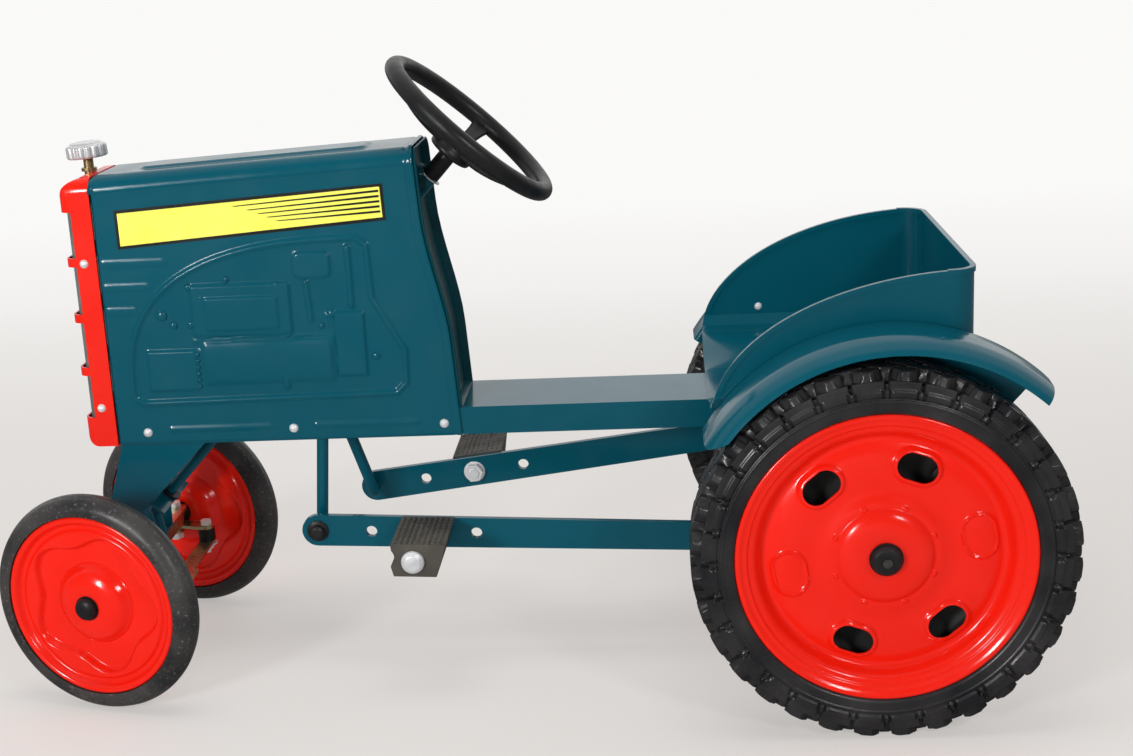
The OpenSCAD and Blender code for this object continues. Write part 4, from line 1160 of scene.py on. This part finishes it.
for side_name, side in SIDES.items():
    pin, slope = BARS[side_name]
    bar_place = Matrix.Translation((pin[0], 0, pin[1])) @ Matrix.Rotation(math.radians(-slope), 4, "Y")
    block = pedal_block()
    put(block, bar_place @ Matrix.Diagonal((1, side, 1, 1)) @ Matrix.Translation((BAR_REACH, 0, 0)))
    node_name = "pedal_" + side_name
    new_piece(block, node_name + "_block", pedal_rubber, node_name, (node_name,))

# %% [markdown]
# ## Floor and light
# A plain pale floor carries the tractor and fills the picture. Soft light comes from the sky, from a
# wide panel overhead and from a low one in front of the wheels. Gloss doesn't see those two panels:
# it mirrors the two smaller ones on the camera's side, which give enamel and chrome their bright
# spots. The panels and the sky add up to a plain level.

# %% Floor and light
floor_mesh = bmesh.new()
bmesh.ops.create_grid(floor_mesh, x_segments=2, y_segments=2, size=60)
floor_data = bpy.data.meshes.new("floor")
floor_mesh.to_mesh(floor_data)
floor_mesh.free()
floor = bpy.data.objects.new("floor", floor_data)
bpy.context.scene.collection.objects.link(floor)
paper = Finish("floor_paper")
paper.set(
    Base_Color=paper.ramp(paper.noise(1.1, 3), (0.3, (0.79, 0.765, 0.74)), (0.7, (0.83, 0.805, 0.78))),
    Roughness=0.75,
    Specular_IOR_Level=0.15,
)
nodes_of_paper = paper.tree.nodes
across = nodes_of_paper.new("ShaderNodeSeparateXYZ")
paper.tree.links.new(paper.place, across.inputs["Vector"])
distance = paper.spread(across.outputs["Y"], 1.0, 0.0, -2.6, -0.2)
glow = nodes_of_paper.new("ShaderNodeEmission")
paper.tree.links.new(paper.mix(distance, (0.78, 0.75, 0.725), (0.955, 0.95, 0.94)), glow.inputs["Color"])
light_path = nodes_of_paper.new("ShaderNodeLightPath")
share = nodes_of_paper.new("ShaderNodeMath")
share.operation = "MULTIPLY"
paper.tree.links.new(light_path.outputs["Is Camera Ray"], share.inputs[0])
paper.tree.links.new(paper.spread(distance, 0.54, 1.0, 0.0, 0.6), share.inputs[1])
blend = nodes_of_paper.new("ShaderNodeMixShader")
paper.tree.links.new(share.outputs[0], blend.inputs["Fac"])
paper.tree.links.new(paper.shader.outputs["BSDF"], blend.inputs[1])
paper.tree.links.new(glow.outputs["Emission"], blend.inputs[2])
dim = nodes_of_paper.new("ShaderNodeEmission")
dim.inputs["Color"].default_value = (0.17, 0.17, 0.168, 1)
seen_in_gloss = nodes_of_paper.new("ShaderNodeMixShader")
paper.tree.links.new(light_path.outputs["Is Glossy Ray"], seen_in_gloss.inputs["Fac"])
paper.tree.links.new(blend.outputs[0], seen_in_gloss.inputs[1])
paper.tree.links.new(dim.outputs["Emission"], seen_in_gloss.inputs[2])
paper.tree.links.new(seen_in_gloss.outputs[0], nodes_of_paper["Material Output"].inputs["Surface"])
floor_data.materials.append(paper.material)

sky = bpy.data.worlds.new("studio_sky")
sky.use_nodes = True
sky_nodes = sky.node_tree.nodes
sky_links = sky.node_tree.links
background = sky_nodes["Background"]
background.inputs["Strength"].default_value = 1.0
lean = sky_nodes.new("ShaderNodeVectorMath")
lean.operation = "DOT_PRODUCT"
lean.inputs[1].default_value = (0, -0.46, 0.27)
sky_links.new(sky_nodes.new("ShaderNodeTexCoord").outputs["Generated"], lean.inputs[0])
fade = sky_nodes.new("ShaderNodeValToRGB")
for element, (position, grey) in zip(fade.color_ramp.elements, ((0.0, 0.14), (0.55, 1.0))):
    element.position = position
    element.color = (grey, grey * 0.99, grey * 0.98, 1)
sky_links.new(lean.outputs["Value"], fade.inputs["Fac"])
sky_links.new(fade.outputs["Color"], background.inputs["Color"])
bpy.context.scene.world = sky


def panel_light(name, place, target, width, height, power, mirrored=True):
    data = bpy.data.lights.new(name, "AREA")
    data.shape = "RECTANGLE"
    data.size = width
    data.size_y = height
    data.energy = power
    lamp = bpy.data.objects.new(name, data)
    bpy.context.scene.collection.objects.link(lamp)
    aim = (Vector(target) - Vector(place)).to_track_quat("-Z", "Y").to_matrix().to_4x4()
    lamp.matrix_world = Matrix.Translation(place) @ aim
    lamp.visible_glossy = mirrored


panel_light("overhead_panel", (0.0, 0.3, 2.4), (0, 0, 0.2), 1.6, 0.8, 16, False)
panel_light("key_panel", (1.4, 2.3, 1.0), (0, 0, 0.25), 0.4, 0.5, 36)
panel_light("side_panel", (-1.3, 1.9, 1.4), (0, 0, 0.25), 0.3, 0.4, 12)
panel_light("low_panel", (0.3, 2.6, 0.4), (0, 0, 0.15), 1.8, 0.6, 8, False)
bpy.context.scene.view_settings.view_transform = "Standard"
print("floor and lights ready")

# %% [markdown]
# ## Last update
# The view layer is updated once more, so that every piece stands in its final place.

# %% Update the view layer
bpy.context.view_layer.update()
